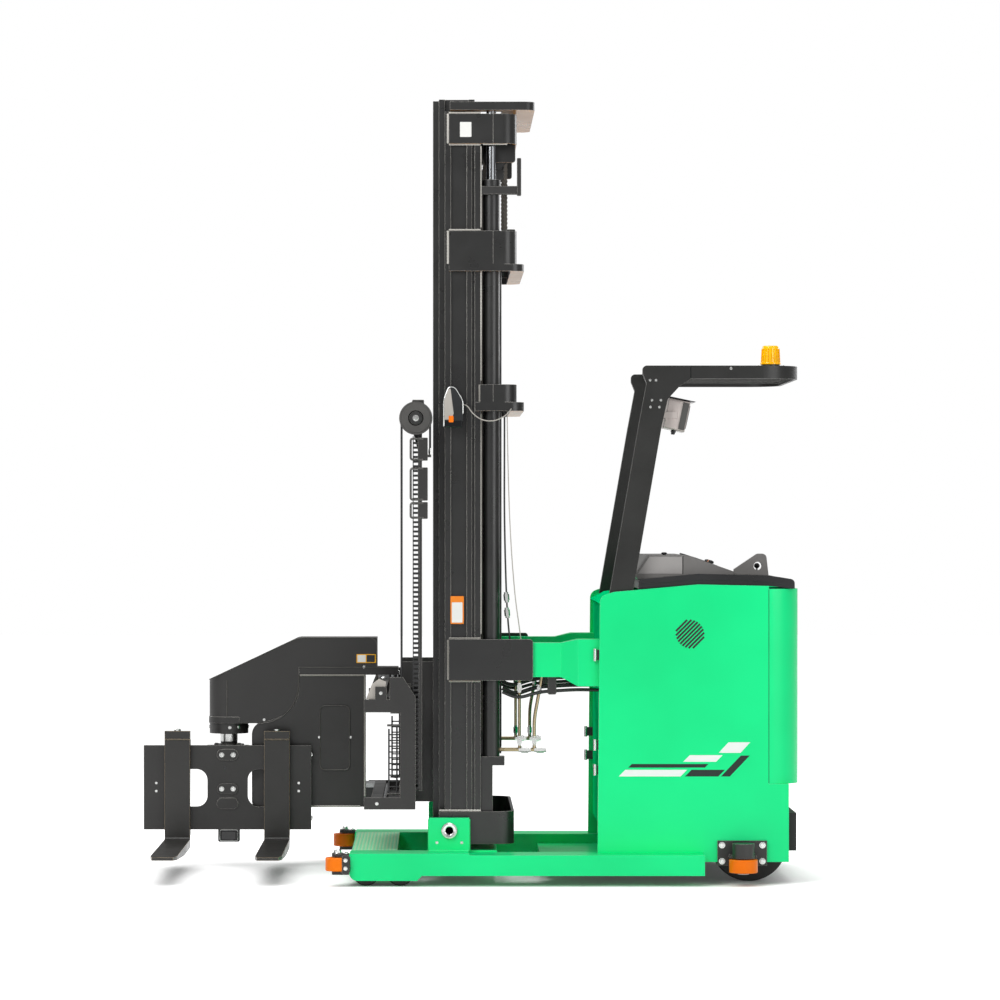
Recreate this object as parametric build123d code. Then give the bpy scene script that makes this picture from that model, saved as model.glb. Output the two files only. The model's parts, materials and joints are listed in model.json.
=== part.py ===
from build123d import *
import os

# A side-loading turret truck for very narrow aisles: a low base with two arms,
# a three-stage mast tied to the machine body, an operator's body with an
# overhead guard, and a traversing head that turns a pair of forks half a turn.
# Units are millimetres. +Z is up, the forks' end is at -X, the operator's at
# +X. Working positions run from the axis of the mast's foot pins; the finished
# pieces move by origin_shift, so that the origin is on the floor at mid-length.

os.makedirs("parts", exist_ok=True)

# Fits shared by the whole machine
seat_gap = 0.3
running_gap = 0.06
slide_gap = 0.5
overrun = 1.0

# Base arms and cross members
arm_outer_y = 750.0
arm_width = 200.0
arm_front_x = -449.0
arm_step_x = -145.0
arm_mid_x = 92.0
arm_rear_inset = 435.0
arm_top_z = 148.0
arm_low_z = 26.0
arm_rear_low_z = 48.0
arm_rear_top_z = 140.0
arm_nose_radius = 38.0
arm_lip = 8.0
cross_low_z = 60.0
deck_thickness = 10.0
deck_margin = 9.0
deck_rear_x = -235.0
mid_beam_front_x = -97.0
mid_beam_rear_x = 215.0
rear_beam_front_x = 422.0
rear_beam_top_z = 96.0

# Load wheels, two in line in each arm
load_wheel_radius = 63.0
load_wheel_width = 104.0
load_wheel_spacing = 152.0
load_centre_x = -297.0
load_axle_radius = 14.0
load_hub_radius = 34.0
load_hub_width = 110.0
load_recess = 7.0
load_rim_radius = 44.0
load_pocket_width = 116.0
load_pocket_gap = 9.0
load_tyre_crown = 5.0

# Foot brackets and pins of the mast
pin_z = 240.0
pin_radius = 26.0
pin_head_radius = 36.0
pin_head_length = 12.0
pin_socket_radius = 17.0
pin_socket_depth = 8.0
bracket_outer_y = 600.0
bracket_thickness = 38.0
bracket_front_x = -92.0
bracket_rear_x = 90.0
bracket_top_z = 297.0

# Mast uprights: one rolled section used three times
section_depth = 162.0
section_width = 70.0
section_web = 14.0
section_recess = 15.0
section_flange = 27.0
section_rib_width = 23.0
section_rib_offset = 99.0
stage_step_x = 27.0
stage_gap_y = 7.0
mast_outer_y = 545.0
mast_front_x = -20.0
outer_top_z = 3485.0
stage_top_z = 3548.0
mast_low_z = 176.0
stage_low_z = 196.0

# Mast rollers
roller_width = 35.0
roller_stub_radius = 20.0
roller_low_z = 300.0
roller_spacing_z = 400.0
roller_web_gap = 3.0

# Bands round the back of the outer mast
band_thickness = 12.0
band_front_x = -2.0
band_rear_x = 305.0
band_corner_radius = 62.0
top_band_low_z = 3341.0
top_band_height = 135.0
mid_band_low_z = 2797.0
mid_band_height = 150.0
shelf_thickness = 32.0
shelf_reach = 33.0
shelf_inner_x = 276.0
low_band_front_x = 139.0
low_band_low_z = 2173.0
low_band_height = 80.0
low_shelf_front_x = 116.0
low_shelf_thickness = 40.0
foot_height = 147.0
foot_front_x = -46.0
foot_rear_x = 294.0
foot_corner_radius = 82.0
foot_bottom_thickness = 14.0
tie_plate_rear_x = 378.0
tie_plate_low_z = 915.0
tie_plate_height = 186.0
tie_plate_thickness = 16.0
tie_plate_radius = 14.0

# Main lift cylinders
cylinder_x = 190.0
cylinder_y = 492.0
cylinder_radius = 38.0
cylinder_wall = 8.0
cylinder_low_z = 570.0
cylinder_top_z = 3180.0
cylinder_gland_radius = 43.0
cylinder_gland_height = 60.0
rod_radius = 22.0
rod_end_gap = 40.0
saddle_thickness = 40.0
saddle_front_x = 142.0
saddle_rear_x = 250.0
post_rear_x = 196.0
post_width = 96.0

# Cross members of the moving stages
stage_tie_thickness = 20.0
stage_tie_height = 130.0
middle_tie_low_zs = (3350.0, 2450.0, 1330.0, 330.0)
inner_tie_low_zs = (3390.0, 2250.0, 1150.0, 210.0)
crown_low_z = 3492.0
crown_thickness = 38.0
crown_rear_x = 386.0
crown_front_x = 3.0
crown_inner_x = 240.0
crown_corner_radius = 45.0

# Ties between the mast and the body
tie_arm_front_x = 240.0
tie_arm_knee_x = 505.0
tie_arm_wide_x = 580.0
tie_arm_low_z = 930.0
tie_arm_height = 155.0
tie_arm_width = 84.0
tie_arm_rear_low_z = 890.0
tie_arm_rear_height = 212.0
tie_arm_rear_inset = 30.0
tie_arm_rear_width = 130.0

# Body of the machine
body_half_width = 630.0
wall = 20.0
body_front_low_x = 667.0
body_front_top_x = 678.0
body_length = 911.0
body_low_z = 101.0
body_front_low_z = 140.3
body_step_gap = 2.0
body_front_mid_x = 740.0
body_front_mid_z = 1316.0
lid_thickness = 16.0
skirt_thickness = 16.0
well_top_z = 1330.0
body_front_top_z = 1296.0
body_crest_x = 1120.0
body_crest_z = 1350.0
corner_reach_x = 140.0
body_seam_z = 1343.0
body_rear_top_z = 1330.0
body_corner_radius = 40.0
corner_low_z = 452.0
corner_reach_y = 150.0
lower_rear_inset = 50.0
front_wall_x = 690.0
bay_wall_inset = 518.0
aisle_y = -110.0
aisle_far_margin = 160.0
floor_z = 236.0
floor_thickness = 16.0
pan_thickness = 15.0
battery_margin_x = 10.0
battery_margin_y = 86.0
battery_height = 760.0

# Rear pads and step
pad_thickness = 46.0
pad_low_z = 760.0
pad_height = 420.0
pad_radius = 40.0
pad_margin_x = 40.0
pad_rear_gap = 8.0
step_margin_y = 30.0
step_depth = 36.0
step_low_z = 150.0
step_height = 170.0

# Top cover, console, hand guard
cover_front_x = 853.0
cover_rear_inset = 22.0
cover_front_low_z = 1330.0
cover_edge = 42.0
cover_margin_y = 18.0
cover_crest_z = 1397.0
cover_well_inset = 148.0
console_front_x = 838.0
console_ridge_x = 898.0
console_back_share = 0.465
console_gap = 5.0
console_low_z = 1392.0
console_top_z = 1480.0
console_rear_z = 1408.0
console_far_margin = 160.0
console_near_margin = 85.0
guard_hand_gap = 9.0
guard_hand_length = 162.0
guard_hand_start_z = 1416.0
guard_hand_peak_x = 106.0
guard_hand_peak_length = 40.0
guard_hand_top_z = 1487.0
guard_hand_y = -420.0
guard_hand_width = 40.0
guard_hand_hole = 19.0
guard_hand_hole_x = 108.0
guard_hand_hole_z = 1431.0

# Overhead guard
post_box = 60.0
post_foot_z = 1180.0
post_foot_x = 700.0
post_low_z = 1325.0
post_low_front_x = 725.0
post_low_rear_x = 829.0
post_high_front_x = 853.0
post_high_rear_x = 957.0
post_high_z = 2064.0
neck_front_x = 889.0
neck_front_z = 2256.0
neck_rear_x = 984.0
neck_rear_z = 2184.0
gusset_x = 1038.0
gusset_z = 2243.0
roof_seam_x = 1088.0
roof_low_z = 2277.0
roof_top_z = 2336.0
roof_head_front_x = 872.0
roof_overhang = 2.0
roof_wall = 14.0
roof_flange = 42.0
roof_flange_thickness = 8.0
roof_corner_radius = 165.0
roof_bar_count = 7
roof_bar_width = 14.0
roof_bar_height = 40.0
roof_bar_step = 128.0
roof_beam_front_x = 950.0
roof_beam_depth = 50.0
neck_radius = 18.0
roof_beam_low_z = 2290.0

# Beacon and display
beacon_inset = 119.0
beacon_y = -430.0
beacon_radius = 43.0
beacon_top_radius = 37.0
beacon_height = 96.0
beacon_base_height = 12.0
beacon_plate = 150.0
beacon_plate_thickness = 8.0
beacon_dome = 9.0
display_x = 1030.0
display_low_z = 2046.0
display_depth = 96.0
display_height = 138.0
display_width = 210.0
display_post_gap = 5.0
display_tilt = 12.0
display_beam = 30.0
display_beam_x = 935.0
display_beam_z = 2100.0

# Drive wheel and caster
drive_inset_x = 167.0
drive_inset_y = 240.0
drive_radius = 175.0
drive_width = 120.0
drive_hub_radius = 116.0
drive_hub_recess = 22.0
yoke_thickness = 22.0
yoke_gap = 8.0
yoke_reach = 62.0
yoke_top_z = 372.0
drive_axle_radius = 22.0
motor_radius = 112.0
motor_height = 300.0
motor_gap = 8.0
turntable_radius = 135.0
turntable_thickness = 24.0
drive_well_radius = 191.0
drive_well_top_z = 300.0
drive_deck_thickness = 16.0
caster_inset_x = 188.0
caster_inset_y = 230.0
caster_radius = 62.0
caster_tyre_width = 44.0
caster_twin_gap = 26.0
caster_trail = 34.0
caster_axle_radius = 11.0
caster_plate_radius = 66.0
caster_plate_thickness = 14.0
caster_stem_thickness = 20.0
caster_top_z = 176.0
caster_well_radius = 130.0
caster_pin_radius = 14.0
caster_pad_top_z = 220.0

# Guide rollers
guide_radius = 55.0
guide_height = 60.0
guide_front_x = -500.0
guide_front_y = 725.0
guide_front_low_z = 70.0
guide_rear_inset = 211.0
guide_rear_radius = 64.0
guide_rear_low_z = 60.0
guide_rear_reach = 86.0
guide_bore = 12.0
guide_jaw_thickness = 13.0
guide_jaw_gap = 4.0
guide_plate_width = 222.0
guide_plate_height = 112.0
guide_plate_low_z = 86.0
guide_plate_thickness = 14.0
guide_nut_height = 54.0
guide_nut_radius = 50.0
guide_pocket_gap = 7.0
guide_jaw_half_x = 26.0
guide_jaw_inner_y = 690.0
guide_jaw_outer_y = 750.0
guide_arm_half_x = 60.0

# Lift carriage and traverse frame
carriage_plate_y = 290.0
carriage_plate_thickness = 20.0
carriage_plate_front_x = -222.0
carriage_plate_rear_x = 50.0
carriage_plate_low_z = 352.0
carriage_plate_height = 640.0
carriage_roller_low_z = 430.0
end_plate_y = 650.0
end_plate_thickness = 22.0
end_front_x = -384.0
end_window_rear_x = -222.0
end_rear_x = -152.0
end_low_z = 338.0
end_low_bar_z = 392.0
end_high_bar_z = 775.0
end_arm_top_z = 833.0
end_top_z = 933.0
end_chamfer_x = 56.0
end_chamfer_z = 88.0
end_notch_x = -268.0
top_rail_front_x = -334.0
top_rail_rear_x = -282.0
top_rail_low_z = 833.0
top_rail_height = 58.0
low_rail_front_x = -352.0
low_rail_rear_x = -300.0
low_rail_height = 54.0
back_beam_depth = 48.0
back_beam_rear_x = -176.0
back_low_beam_height = 110.0
rack_tooth_pitch = 25.0
rack_height = 30.0
rack_depth = 14.0

# Energy chain post and hose pulley
chain_post_front_x = -137.0
chain_post_rear_x = -123.0
chain_post_low_z = 420.0
chain_post_top_z = 2010.0
chain_post_y = 590.0
chain_width_x = 28.0
chain_width_y = 46.0
chain_side = 4.0
chain_pitch = 21.0
chain_rung = 10.0
chain_end_margin = 8.0
chain_bracket = 12.0
hose_radius = 5.0
pulley_z = 2099.0
pulley_x = -151.0
pulley_radius = 75.0
pulley_width = 44.0
pulley_groove = 16.0
pulley_hub_radius = 30.0
pulley_hub_proud = 4.0
pulley_pin_radius = 11.0

# Traversing head
head_thickness = 200.0
head_home_y = 490.0
head_axis_x = -1047.0
head_low_z = 281.0
head_rear_x = -397.0
head_toe_x = -932.0
head_toe_top_z = 641.0
head_shoulder_x = -711.0
head_shoulder_z = 906.0
head_bend_x = -913.0
head_bend_z = 735.0
head_bend_low_z = 669.0
head_bend_radius = 150.0
head_bar_thickness = 36.0
head_bar_rear_x = -240.0
cover_arm_front_x = -1139.0
cover_arm_low_z = 676.0
cover_arm_nose_z = 882.0
cover_arm_slope_x = -714.0
cover_arm_top_z = 1083.0
cover_arm_rear_x = -340.0
cover_arm_thickness = 196.0
cover_arm_bend_radius = 60.0
cover_nose_radius = 85.0
cover_collar_height = 30.0
cover_collar_length = 60.0
cover_collar_proud = 3.0
hatch_low_z = 456.0
hatch_high_z = 760.0
hatch_front_x = -610.0
hatch_rear_x = -471.0
hatch_proud = 4.0
hatch_radius = 22.0
pivot_housing_radius = 92.0
pivot_housing_height = 50.0
bearing_radius = 20.0
bearing_height = 49.0
bearing_inset_y = 80.0

# Turning fork carriage
swivel_shaft_radius = 40.0
hub_radius = 72.0
plate_offset_y = 150.0
plate_thickness = 30.0
plate_half_length = 396.0
plate_low_z = 176.0
plate_high_z = 574.0
plate_hole_near = 95.0
plate_hole_far = 258.0
plate_hole_low_z = 284.0
plate_hole_high_z = 462.0
plate_hole_radius = 52.0
plate_web_half = 64.0
plate_rail_thickness = 34.0
plate_rail_height = 60.0
plate_rail_half = 98.0
lug_half_length = 50.0
lug_half_height = 26.0
lug_proud = 8.0
lug_low_z = 300.0
lug_high_z = 530.0
sensor_radius = 46.0
sensor_height = 48.0

# Forks
fork_width = 120.0
fork_thickness = 40.0
fork_length = 1070.0
fork_low_z = 92.0
fork_high_z = 643.0
fork_tip_thickness = 14.0
fork_taper_length = 620.0
fork_tip_width = 96.0
fork_tip_length = 90.0
fork_heel_radius = 38.0
fork_throat_radius = 12.0
fork_spacing = 235.0
fork_hook_depth = 26.0
fork_hook_gap = 0.5
fork_hook_lip = 26.0
fork_hook_lip_thickness = 8.0

# Warning lamp on the near upright
lamp_front_x = -26.0
lamp_rear_x = 62.0
lamp_low_z = 2054.0
lamp_top_z = 2243.0
lamp_shoulder_z = 2180.0
lamp_depth = 55.0
lamp_top_x = -4.0
lamp_top_rear_x = 24.0
lamp_radius = 14.0
lamp_lens_height = 34.0

# Free-lift cylinder of the inner stage
free_x = 30.0
free_radius = 45.0
free_wall = 9.0
free_low_z = 210.0
free_top_z = 1840.0
free_rod_radius = 26.0
free_rod_low_z = 320.0
free_head_height = 60.0
free_head_width = 300.0
free_head_depth = 50.0
anchor_low_z = 833.0
anchor_height = 27.0
anchor_rear_x = 2.0
anchor_width = 56.0
anchor_slot_gap = 5.5
free_wheel_radius = 40.0
free_wheel_width = 30.0
free_wheel_y = 110.0
chain_strand_thickness = 12.0
chain_strand_width = 26.0

# Places that follow the body's length and width
body_rear_x = body_front_low_x + body_length
body_seam_x = body_rear_x - corner_reach_x
lower_rear_x = body_rear_x - lower_rear_inset
arm_rear_x = body_rear_x - arm_rear_inset
body_step_x = arm_rear_x + body_step_gap
bay_wall_x = body_rear_x - bay_wall_inset
well_front_x = bay_wall_x + wall
aisle_far_y = body_half_width - aisle_far_margin
post_half_y = body_half_width - wall
post_inner_y = post_half_y - post_box
tie_arm_rear_outer_y = body_half_width - tie_arm_rear_inset
battery_front_x = front_wall_x + wall + battery_margin_x
battery_half_width = body_half_width - battery_margin_y
battery_low_z = rear_beam_top_z + floor_thickness
cover_rear_x = body_rear_x - cover_rear_inset
cover_half_width = body_half_width - cover_margin_y
cover_well_front_x = body_seam_x - cover_well_inset
console_rear_x = cover_well_front_x - console_gap
console_back_x = console_ridge_x + console_back_share * (console_rear_x - console_ridge_x)
guard_hand_front_x = console_rear_x + guard_hand_gap
roof_rear_x = body_rear_x + roof_overhang
roof_bar_front_x = roof_beam_front_x + roof_beam_depth
beacon_x = roof_rear_x - beacon_inset
display_y = display_width / 2 + display_post_gap - post_inner_y
drive_x = lower_rear_x - drive_inset_x
drive_y = drive_inset_y - body_half_width
caster_x = lower_rear_x - caster_inset_x
caster_y = body_half_width - caster_inset_y
guide_rear_x = lower_rear_x - guide_rear_inset
guide_rear_y = body_half_width + guide_rear_reach

# The pieces reach from the fork plate's end to the roof's rear edge
machine_front_x = head_axis_x - plate_half_length
origin_shift = -(machine_front_x + roof_rear_x) / 2
both_sides = (-1, 1)


def block(x0, x1, y0, y1, z0, z1):
    """A box given by its two ends along each axis."""
    shape = Box(x1 - x0, y1 - y0, z1 - z0, align=(Align.MIN,) * 3)
    return Pos(x0, y0, z0) * shape


def side_block(side, x0, x1, y0, y1, z0, z1):
    """A box on one side of the machine; y0 and y1 are distances from its middle."""
    low, high = sorted((side * y0, side * y1))
    return block(x0, x1, low, high, z0, z1)


def outline(points, radii):
    """A closed outline of straight sides; radii rounds its corners, 0 for a sharp one."""
    path = Polyline(*points, close=True)
    if not radii:
        return make_face(path)
    face = make_face(path)
    for point, radius in zip(points, radii):
        if radius:
            corner = face.vertices().sort_by_distance(Vector(*point))[0]
            face = fillet(corner, radius)
    return face


def side_prism(points, y0, y1, radii=None):
    """An outline of X and Z points, carried from y0 to y1."""
    low, high = sorted((y0, y1))
    face = outline([(x, low, z) for x, z in points], radii)
    return extrude(face, amount=high - low, dir=(0, 1, 0))


def plan_prism(points, z0, z1, radii=None):
    """An outline of X and Y points, carried from z0 to z1."""
    face = outline([(x, y, z0) for x, y in points], radii)
    return extrude(face, amount=z1 - z0, dir=(0, 0, 1))


def rod_y(x, z, radius, y0, y1):
    """A round bar along Y."""
    low, high = sorted((y0, y1))
    bar = Cylinder(radius, high - low, align=(Align.CENTER, Align.CENTER, Align.MIN))
    return Pos(x, low, z) * Rot(-90, 0, 0) * bar


def rod_z(x, y, radius, z0, z1):
    """A round bar along Z."""
    bar = Cylinder(radius, z1 - z0, align=(Align.CENTER, Align.CENTER, Align.MIN))
    return Pos(x, y, z0) * bar


def fuse(pieces):
    """Joins the pieces into one solid."""
    whole = pieces[0]
    for piece in pieces[1:]:
        whole = whole + piece
    return whole


def group(pieces):
    """Holds pieces that stay separate solids of one node."""
    solids = []
    for piece in pieces:
        solids += piece.solids()
    return Compound(solids)


def u_band(front_x, rear_x, half_width, thickness, radius, z0, z1):
    """A flat band bent round three sides: two arms along X and one across the rear."""
    outer = [
        (front_x, -half_width),
        (rear_x, -half_width),
        (rear_x, half_width),
        (front_x, half_width),
    ]
    inner_half = half_width - thickness
    inner_x = rear_x - thickness
    inner = [
        (front_x - overrun, -inner_half),
        (inner_x, -inner_half),
        (inner_x, inner_half),
        (front_x - overrun, inner_half),
    ]
    inner_radius = max(radius - thickness, slide_gap)
    whole = plan_prism(outer, z0, z1, (0, radius, radius, 0))
    hollow = plan_prism(inner, z0 - overrun, z1 + overrun, (0, inner_radius, inner_radius, 0))
    return whole - hollow


nodes = {}


def keep(name, shape):
    """Sets a finished piece down in the machine's own frame under its name."""
    nodes[name] = Pos(origin_shift, 0, 0) * shape

# Base frame
arm_inner_y = arm_outer_y - arm_width
arm_middle_y = arm_outer_y - arm_width / 2
load_xs = (load_centre_x - load_wheel_spacing / 2, load_centre_x + load_wheel_spacing / 2)


def base_arm(side):
    """One arm: a box section that gets shallower behind the load wheels."""
    profile = [
        (arm_front_x, arm_low_z),
        (arm_step_x, arm_low_z),
        (arm_step_x + arm_rear_low_z - arm_low_z, arm_rear_low_z),
        (arm_rear_x, arm_rear_low_z),
        (arm_rear_x, arm_rear_top_z),
        (arm_mid_x, arm_rear_top_z),
        (arm_mid_x - arm_lip, arm_top_z),
        (arm_front_x, arm_top_z),
    ]
    radii = (arm_nose_radius, 0, 0, 0, 0, 0, 0, arm_lip)
    arm = side_prism(profile, side * arm_inner_y, side * arm_outer_y, radii)
    reach = load_wheel_radius + load_pocket_gap
    pocket = side_block(
        side,
        load_xs[0] - reach,
        load_xs[1] + reach,
        arm_middle_y - load_pocket_width / 2,
        arm_middle_y + load_pocket_width / 2,
        arm_low_z - overrun,
        2 * load_wheel_radius + load_pocket_gap,
    )
    reach = guide_radius + guide_pocket_gap
    guide_pocket = rod_z(
        guide_front_x,
        side * guide_front_y,
        reach,
        guide_front_low_z - guide_jaw_gap,
        guide_front_low_z + guide_height + guide_jaw_gap,
    )
    return arm - pocket - guide_pocket


def foot_bracket(side):
    """The upright block on an arm that holds the mast's foot pin."""
    plate = side_block(
        side,
        bracket_front_x,
        bracket_rear_x,
        bracket_outer_y - bracket_thickness,
        bracket_outer_y,
        arm_top_z,
        bracket_top_z,
    )
    bore = rod_y(
        0,
        pin_z,
        pin_radius + running_gap,
        side * (bracket_outer_y + overrun),
        side * (bracket_outer_y - bracket_thickness - overrun),
    )
    return plate - bore


def base_frame():
    """Both arms, the cross members between them and the mast's foot brackets."""
    deck_low_z = arm_top_z - deck_thickness
    front = block(
        arm_front_x + deck_margin, deck_rear_x, -arm_inner_y, arm_inner_y, cross_low_z, deck_low_z
    )
    front_void = block(
        arm_front_x + 2 * deck_margin,
        deck_rear_x - deck_margin,
        -arm_inner_y + arm_lip,
        arm_inner_y - arm_lip,
        cross_low_z - overrun,
        deck_low_z - deck_margin,
    )
    middle = block(
        mid_beam_front_x, mid_beam_rear_x, -arm_inner_y, arm_inner_y, cross_low_z, arm_top_z
    )
    rear = block(
        rear_beam_front_x,
        bay_wall_x,
        -arm_inner_y,
        arm_inner_y,
        cross_low_z,
        rear_beam_top_z,
    )
    pieces = [front - front_void, middle, rear]
    for side in both_sides:
        pieces += [base_arm(side), foot_bracket(side)]
    return fuse(pieces)


keep("base_frame", base_frame())
keep(
    "deck_plate",
    block(
        arm_front_x + deck_margin,
        deck_rear_x,
        -arm_inner_y,
        arm_inner_y,
        arm_top_z - deck_thickness,
        arm_top_z,
    ),
)


def foot_pin(side):
    """A pin with a round head that stands proud of the bracket."""
    shank = rod_y(0, pin_z, pin_radius, side * bracket_outer_y, side * mast_outer_y)
    head_y = bracket_outer_y + pin_head_length
    head = rod_y(0, pin_z, pin_head_radius, side * bracket_outer_y, side * head_y)
    socket_y = head_y - pin_socket_depth
    socket = rod_y(0, pin_z, pin_socket_radius, side * socket_y, side * (head_y + overrun))
    head = chamfer(head.edges().filter_by(GeomType.CIRCLE), pin_socket_depth / 4)
    return shank + (head - socket)


keep("foot_pins", group([foot_pin(side) for side in both_sides]))


# Load wheels
def wheel_profile(radius, width, hub_radius, hub_width, rim_radius, recess, bore, crown):
    """A wheel's half section, turned about Z: a crowned tyre on a dished hub."""
    half, hub_half = width / 2, hub_width / 2
    return [
        (bore, -hub_half),
        (hub_radius, -hub_half),
        (hub_radius, -half + recess),
        (rim_radius, -half + recess),
        (rim_radius, -half),
        (radius - crown, -half),
        (radius, -half + crown),
        (radius, half - crown),
        (radius - crown, half),
        (rim_radius, half),
        (rim_radius, half - recess),
        (hub_radius, half - recess),
        (hub_radius, hub_half),
        (bore, hub_half),
    ]


def turned(profile):
    """A profile of radius and height, turned once round the Z axis."""
    face = make_face(Polyline(*[(r, 0, z) for r, z in profile], close=True))
    return revolve(face, axis=Axis.Z)


def load_wheel(side, x):
    """A polyurethane load wheel on its own short axle."""
    wheel = turned(
        wheel_profile(
            load_wheel_radius,
            load_wheel_width,
            load_hub_radius,
            load_hub_width,
            load_rim_radius,
            load_recess,
            load_axle_radius + running_gap,
            load_tyre_crown,
        )
    )
    return Pos(x, side * arm_middle_y, load_wheel_radius) * Rot(90, 0, 0) * wheel


axles = []
for side, side_name in zip(both_sides, ("near", "far")):
    for x, place in zip(load_xs, ("front", "rear")):
        keep(f"load_wheel_{side_name}_{place}", load_wheel(side, x))
        half = load_pocket_width / 2
        axles.append(
            rod_y(
                x,
                load_wheel_radius,
                load_axle_radius,
                side * (arm_middle_y - half),
                side * (arm_middle_y + half),
            )
        )
keep("load_axles", group(axles))

# Mast uprights. A stage is counted 0 for the outer, 1 for the middle, 2 for the inner
def stage_front(stage):
    """The front face of a stage's uprights."""
    return mast_front_x - stage * stage_step_x


def stage_outer(stage):
    """The distance of a stage's outer flange tips from the machine's middle."""
    return mast_outer_y - stage * (section_width + stage_gap_y)


def channel_middle(stage):
    """The middle of the channel that the next stage's rollers run in."""
    return stage_front(stage) + section_depth / 2


def upright(side, stage, z0, z1, with_rib):
    """One upright: two flanges and a web set in from their outer tips."""
    front = stage_front(stage)
    rear = front + section_depth
    outer = stage_outer(stage)
    inner = outer - section_width
    web_outer = outer - section_recess
    pieces = [
        side_block(side, front, front + section_flange, inner, outer, z0, z1),
        side_block(side, rear - section_flange, rear, inner, outer, z0, z1),
        side_block(side, front, rear, web_outer - section_web, web_outer, z0, z1),
    ]
    if with_rib:
        rib_x = front + section_rib_offset
        pieces.append(
            side_block(side, rib_x, rib_x + section_rib_width, web_outer - overrun, outer, z0, z1)
        )
    return fuse(pieces)


roller_radius = section_depth / 2 - section_flange - slide_gap


def mast_roller(side, stage, z):
    """A roller on a stub, running in the channel of the stage outside it."""
    x = channel_middle(stage - 1)
    channel_web = stage_outer(stage - 1) - section_recess - section_web
    outer = channel_web - roller_web_gap
    stub_end = stage_outer(stage) - section_recess
    roller = rod_y(x, z, roller_radius, side * outer, side * (outer - roller_width))
    stub = rod_y(x, z, roller_stub_radius, side * outer, side * (stub_end - overrun))
    return roller + stub


roller_zs = (roller_low_z, roller_low_z + roller_spacing_z)


def moving_stage(stage, tie_low_zs):
    """A pair of uprights with their rollers and the cross members behind them."""
    rear = stage_front(stage) + section_depth
    pieces = []
    for low in tie_low_zs:
        pieces.append(
            block(
                rear,
                rear + stage_tie_thickness,
                -stage_outer(stage),
                stage_outer(stage),
                low,
                low + stage_tie_height,
            )
        )
    for side in both_sides:
        pieces.append(upright(side, stage, stage_low_z, stage_top_z, False))
        pieces += [mast_roller(side, stage, z) for z in roller_zs]
    return pieces


def crown():
    """The flat plate over the outer mast that the main rams push up."""
    half = mast_outer_y + band_thickness
    inner = stage_outer(1)
    outer = [
        (crown_front_x, -half),
        (crown_rear_x, -half),
        (crown_rear_x, half),
        (crown_front_x, half),
    ]
    plate = plan_prism(
        outer,
        crown_low_z,
        crown_low_z + crown_thickness,
        (0, crown_corner_radius, crown_corner_radius, 0),
    )
    throat = block(
        crown_front_x - overrun,
        crown_inner_x,
        -inner,
        inner,
        crown_low_z - overrun,
        crown_low_z + crown_thickness + overrun,
    )
    return plate - throat


keep("middle_stage", fuse(moving_stage(1, middle_tie_low_zs) + [crown()]))

rod_low_z = cylinder_low_z + rod_end_gap
keep(
    "lift_rods",
    group(
        [
            rod_z(cylinder_x, side * cylinder_y, rod_radius, rod_low_z, crown_low_z)
            for side in both_sides
        ]
    ),
)

free_seat_rear_x = stage_front(2) + section_depth
free_seat = block(
    free_x - free_radius,
    free_seat_rear_x,
    -free_radius,
    free_radius,
    stage_low_z,
    free_low_z,
)
keep("inner_stage", fuse(moving_stage(2, inner_tie_low_zs) + [free_seat]))

outer_low_z = mast_low_z + foot_bottom_thickness
keep(
    "outer_uprights",
    group(
        [upright(side, 0, outer_low_z, outer_top_z, True) for side in both_sides]
    ),
)

# Bands, shelves and foot of the outer mast
band_half = mast_outer_y + band_thickness


def shelf(front_x, low_z, thickness):
    """A narrow flat ledge round the outside of a band."""
    rear_x = band_rear_x + shelf_reach
    outer = [
        (front_x, -band_half),
        (rear_x, -band_half),
        (rear_x, band_half),
        (front_x, band_half),
    ]
    radii = (0, band_corner_radius, band_corner_radius, 0)
    plate = plan_prism(outer, low_z, low_z + thickness, radii)
    throat = block(
        front_x - overrun,
        shelf_inner_x,
        -mast_outer_y,
        mast_outer_y,
        low_z - overrun,
        low_z + thickness + overrun,
    )
    return plate - throat


def band(front_x, low_z, height):
    """A band round the outer uprights at one level."""
    return u_band(
        front_x, band_rear_x, band_half, band_thickness, band_corner_radius, low_z, low_z + height
    )


def mast_foot():
    """The deep band and floor plate at the foot, bored for the foot pins."""
    ring = u_band(
        foot_front_x,
        foot_rear_x,
        band_half,
        band_thickness,
        foot_corner_radius,
        mast_low_z,
        mast_low_z + foot_height,
    )
    floor = block(
        mast_front_x,
        foot_rear_x - foot_corner_radius,
        -mast_outer_y,
        mast_outer_y,
        mast_low_z,
        outer_low_z,
    )
    bore = rod_y(0, pin_z, pin_radius + running_gap, -band_half - overrun, band_half + overrun)
    return ring - bore + floor


def tie_plate(side):
    """The black plate outside an upright that takes the body's tie arm."""
    points = [
        (band_front_x, tie_plate_low_z),
        (tie_plate_rear_x, tie_plate_low_z),
        (tie_plate_rear_x, tie_plate_low_z + tie_plate_height),
        (band_front_x, tie_plate_low_z + tie_plate_height),
    ]
    radii = (0, tie_plate_radius, tie_plate_radius, 0)
    outer = mast_outer_y + tie_plate_thickness
    return side_prism(points, side * mast_outer_y, side * outer, radii)


low_band = band(low_band_front_x, low_band_low_z, low_band_height)
low_shelf = shelf(low_shelf_front_x, low_band_low_z - low_shelf_thickness, low_shelf_thickness)
outer_bands = [
    band(band_front_x, top_band_low_z, top_band_height),
    band(band_front_x, mid_band_low_z, mid_band_height)
    + shelf(band_front_x, mid_band_low_z - shelf_thickness, shelf_thickness),
    low_band + low_shelf,
    mast_foot(),
]
outer_bands += [tie_plate(side) for side in both_sides]
keep("outer_bands", group(outer_bands))


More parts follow.
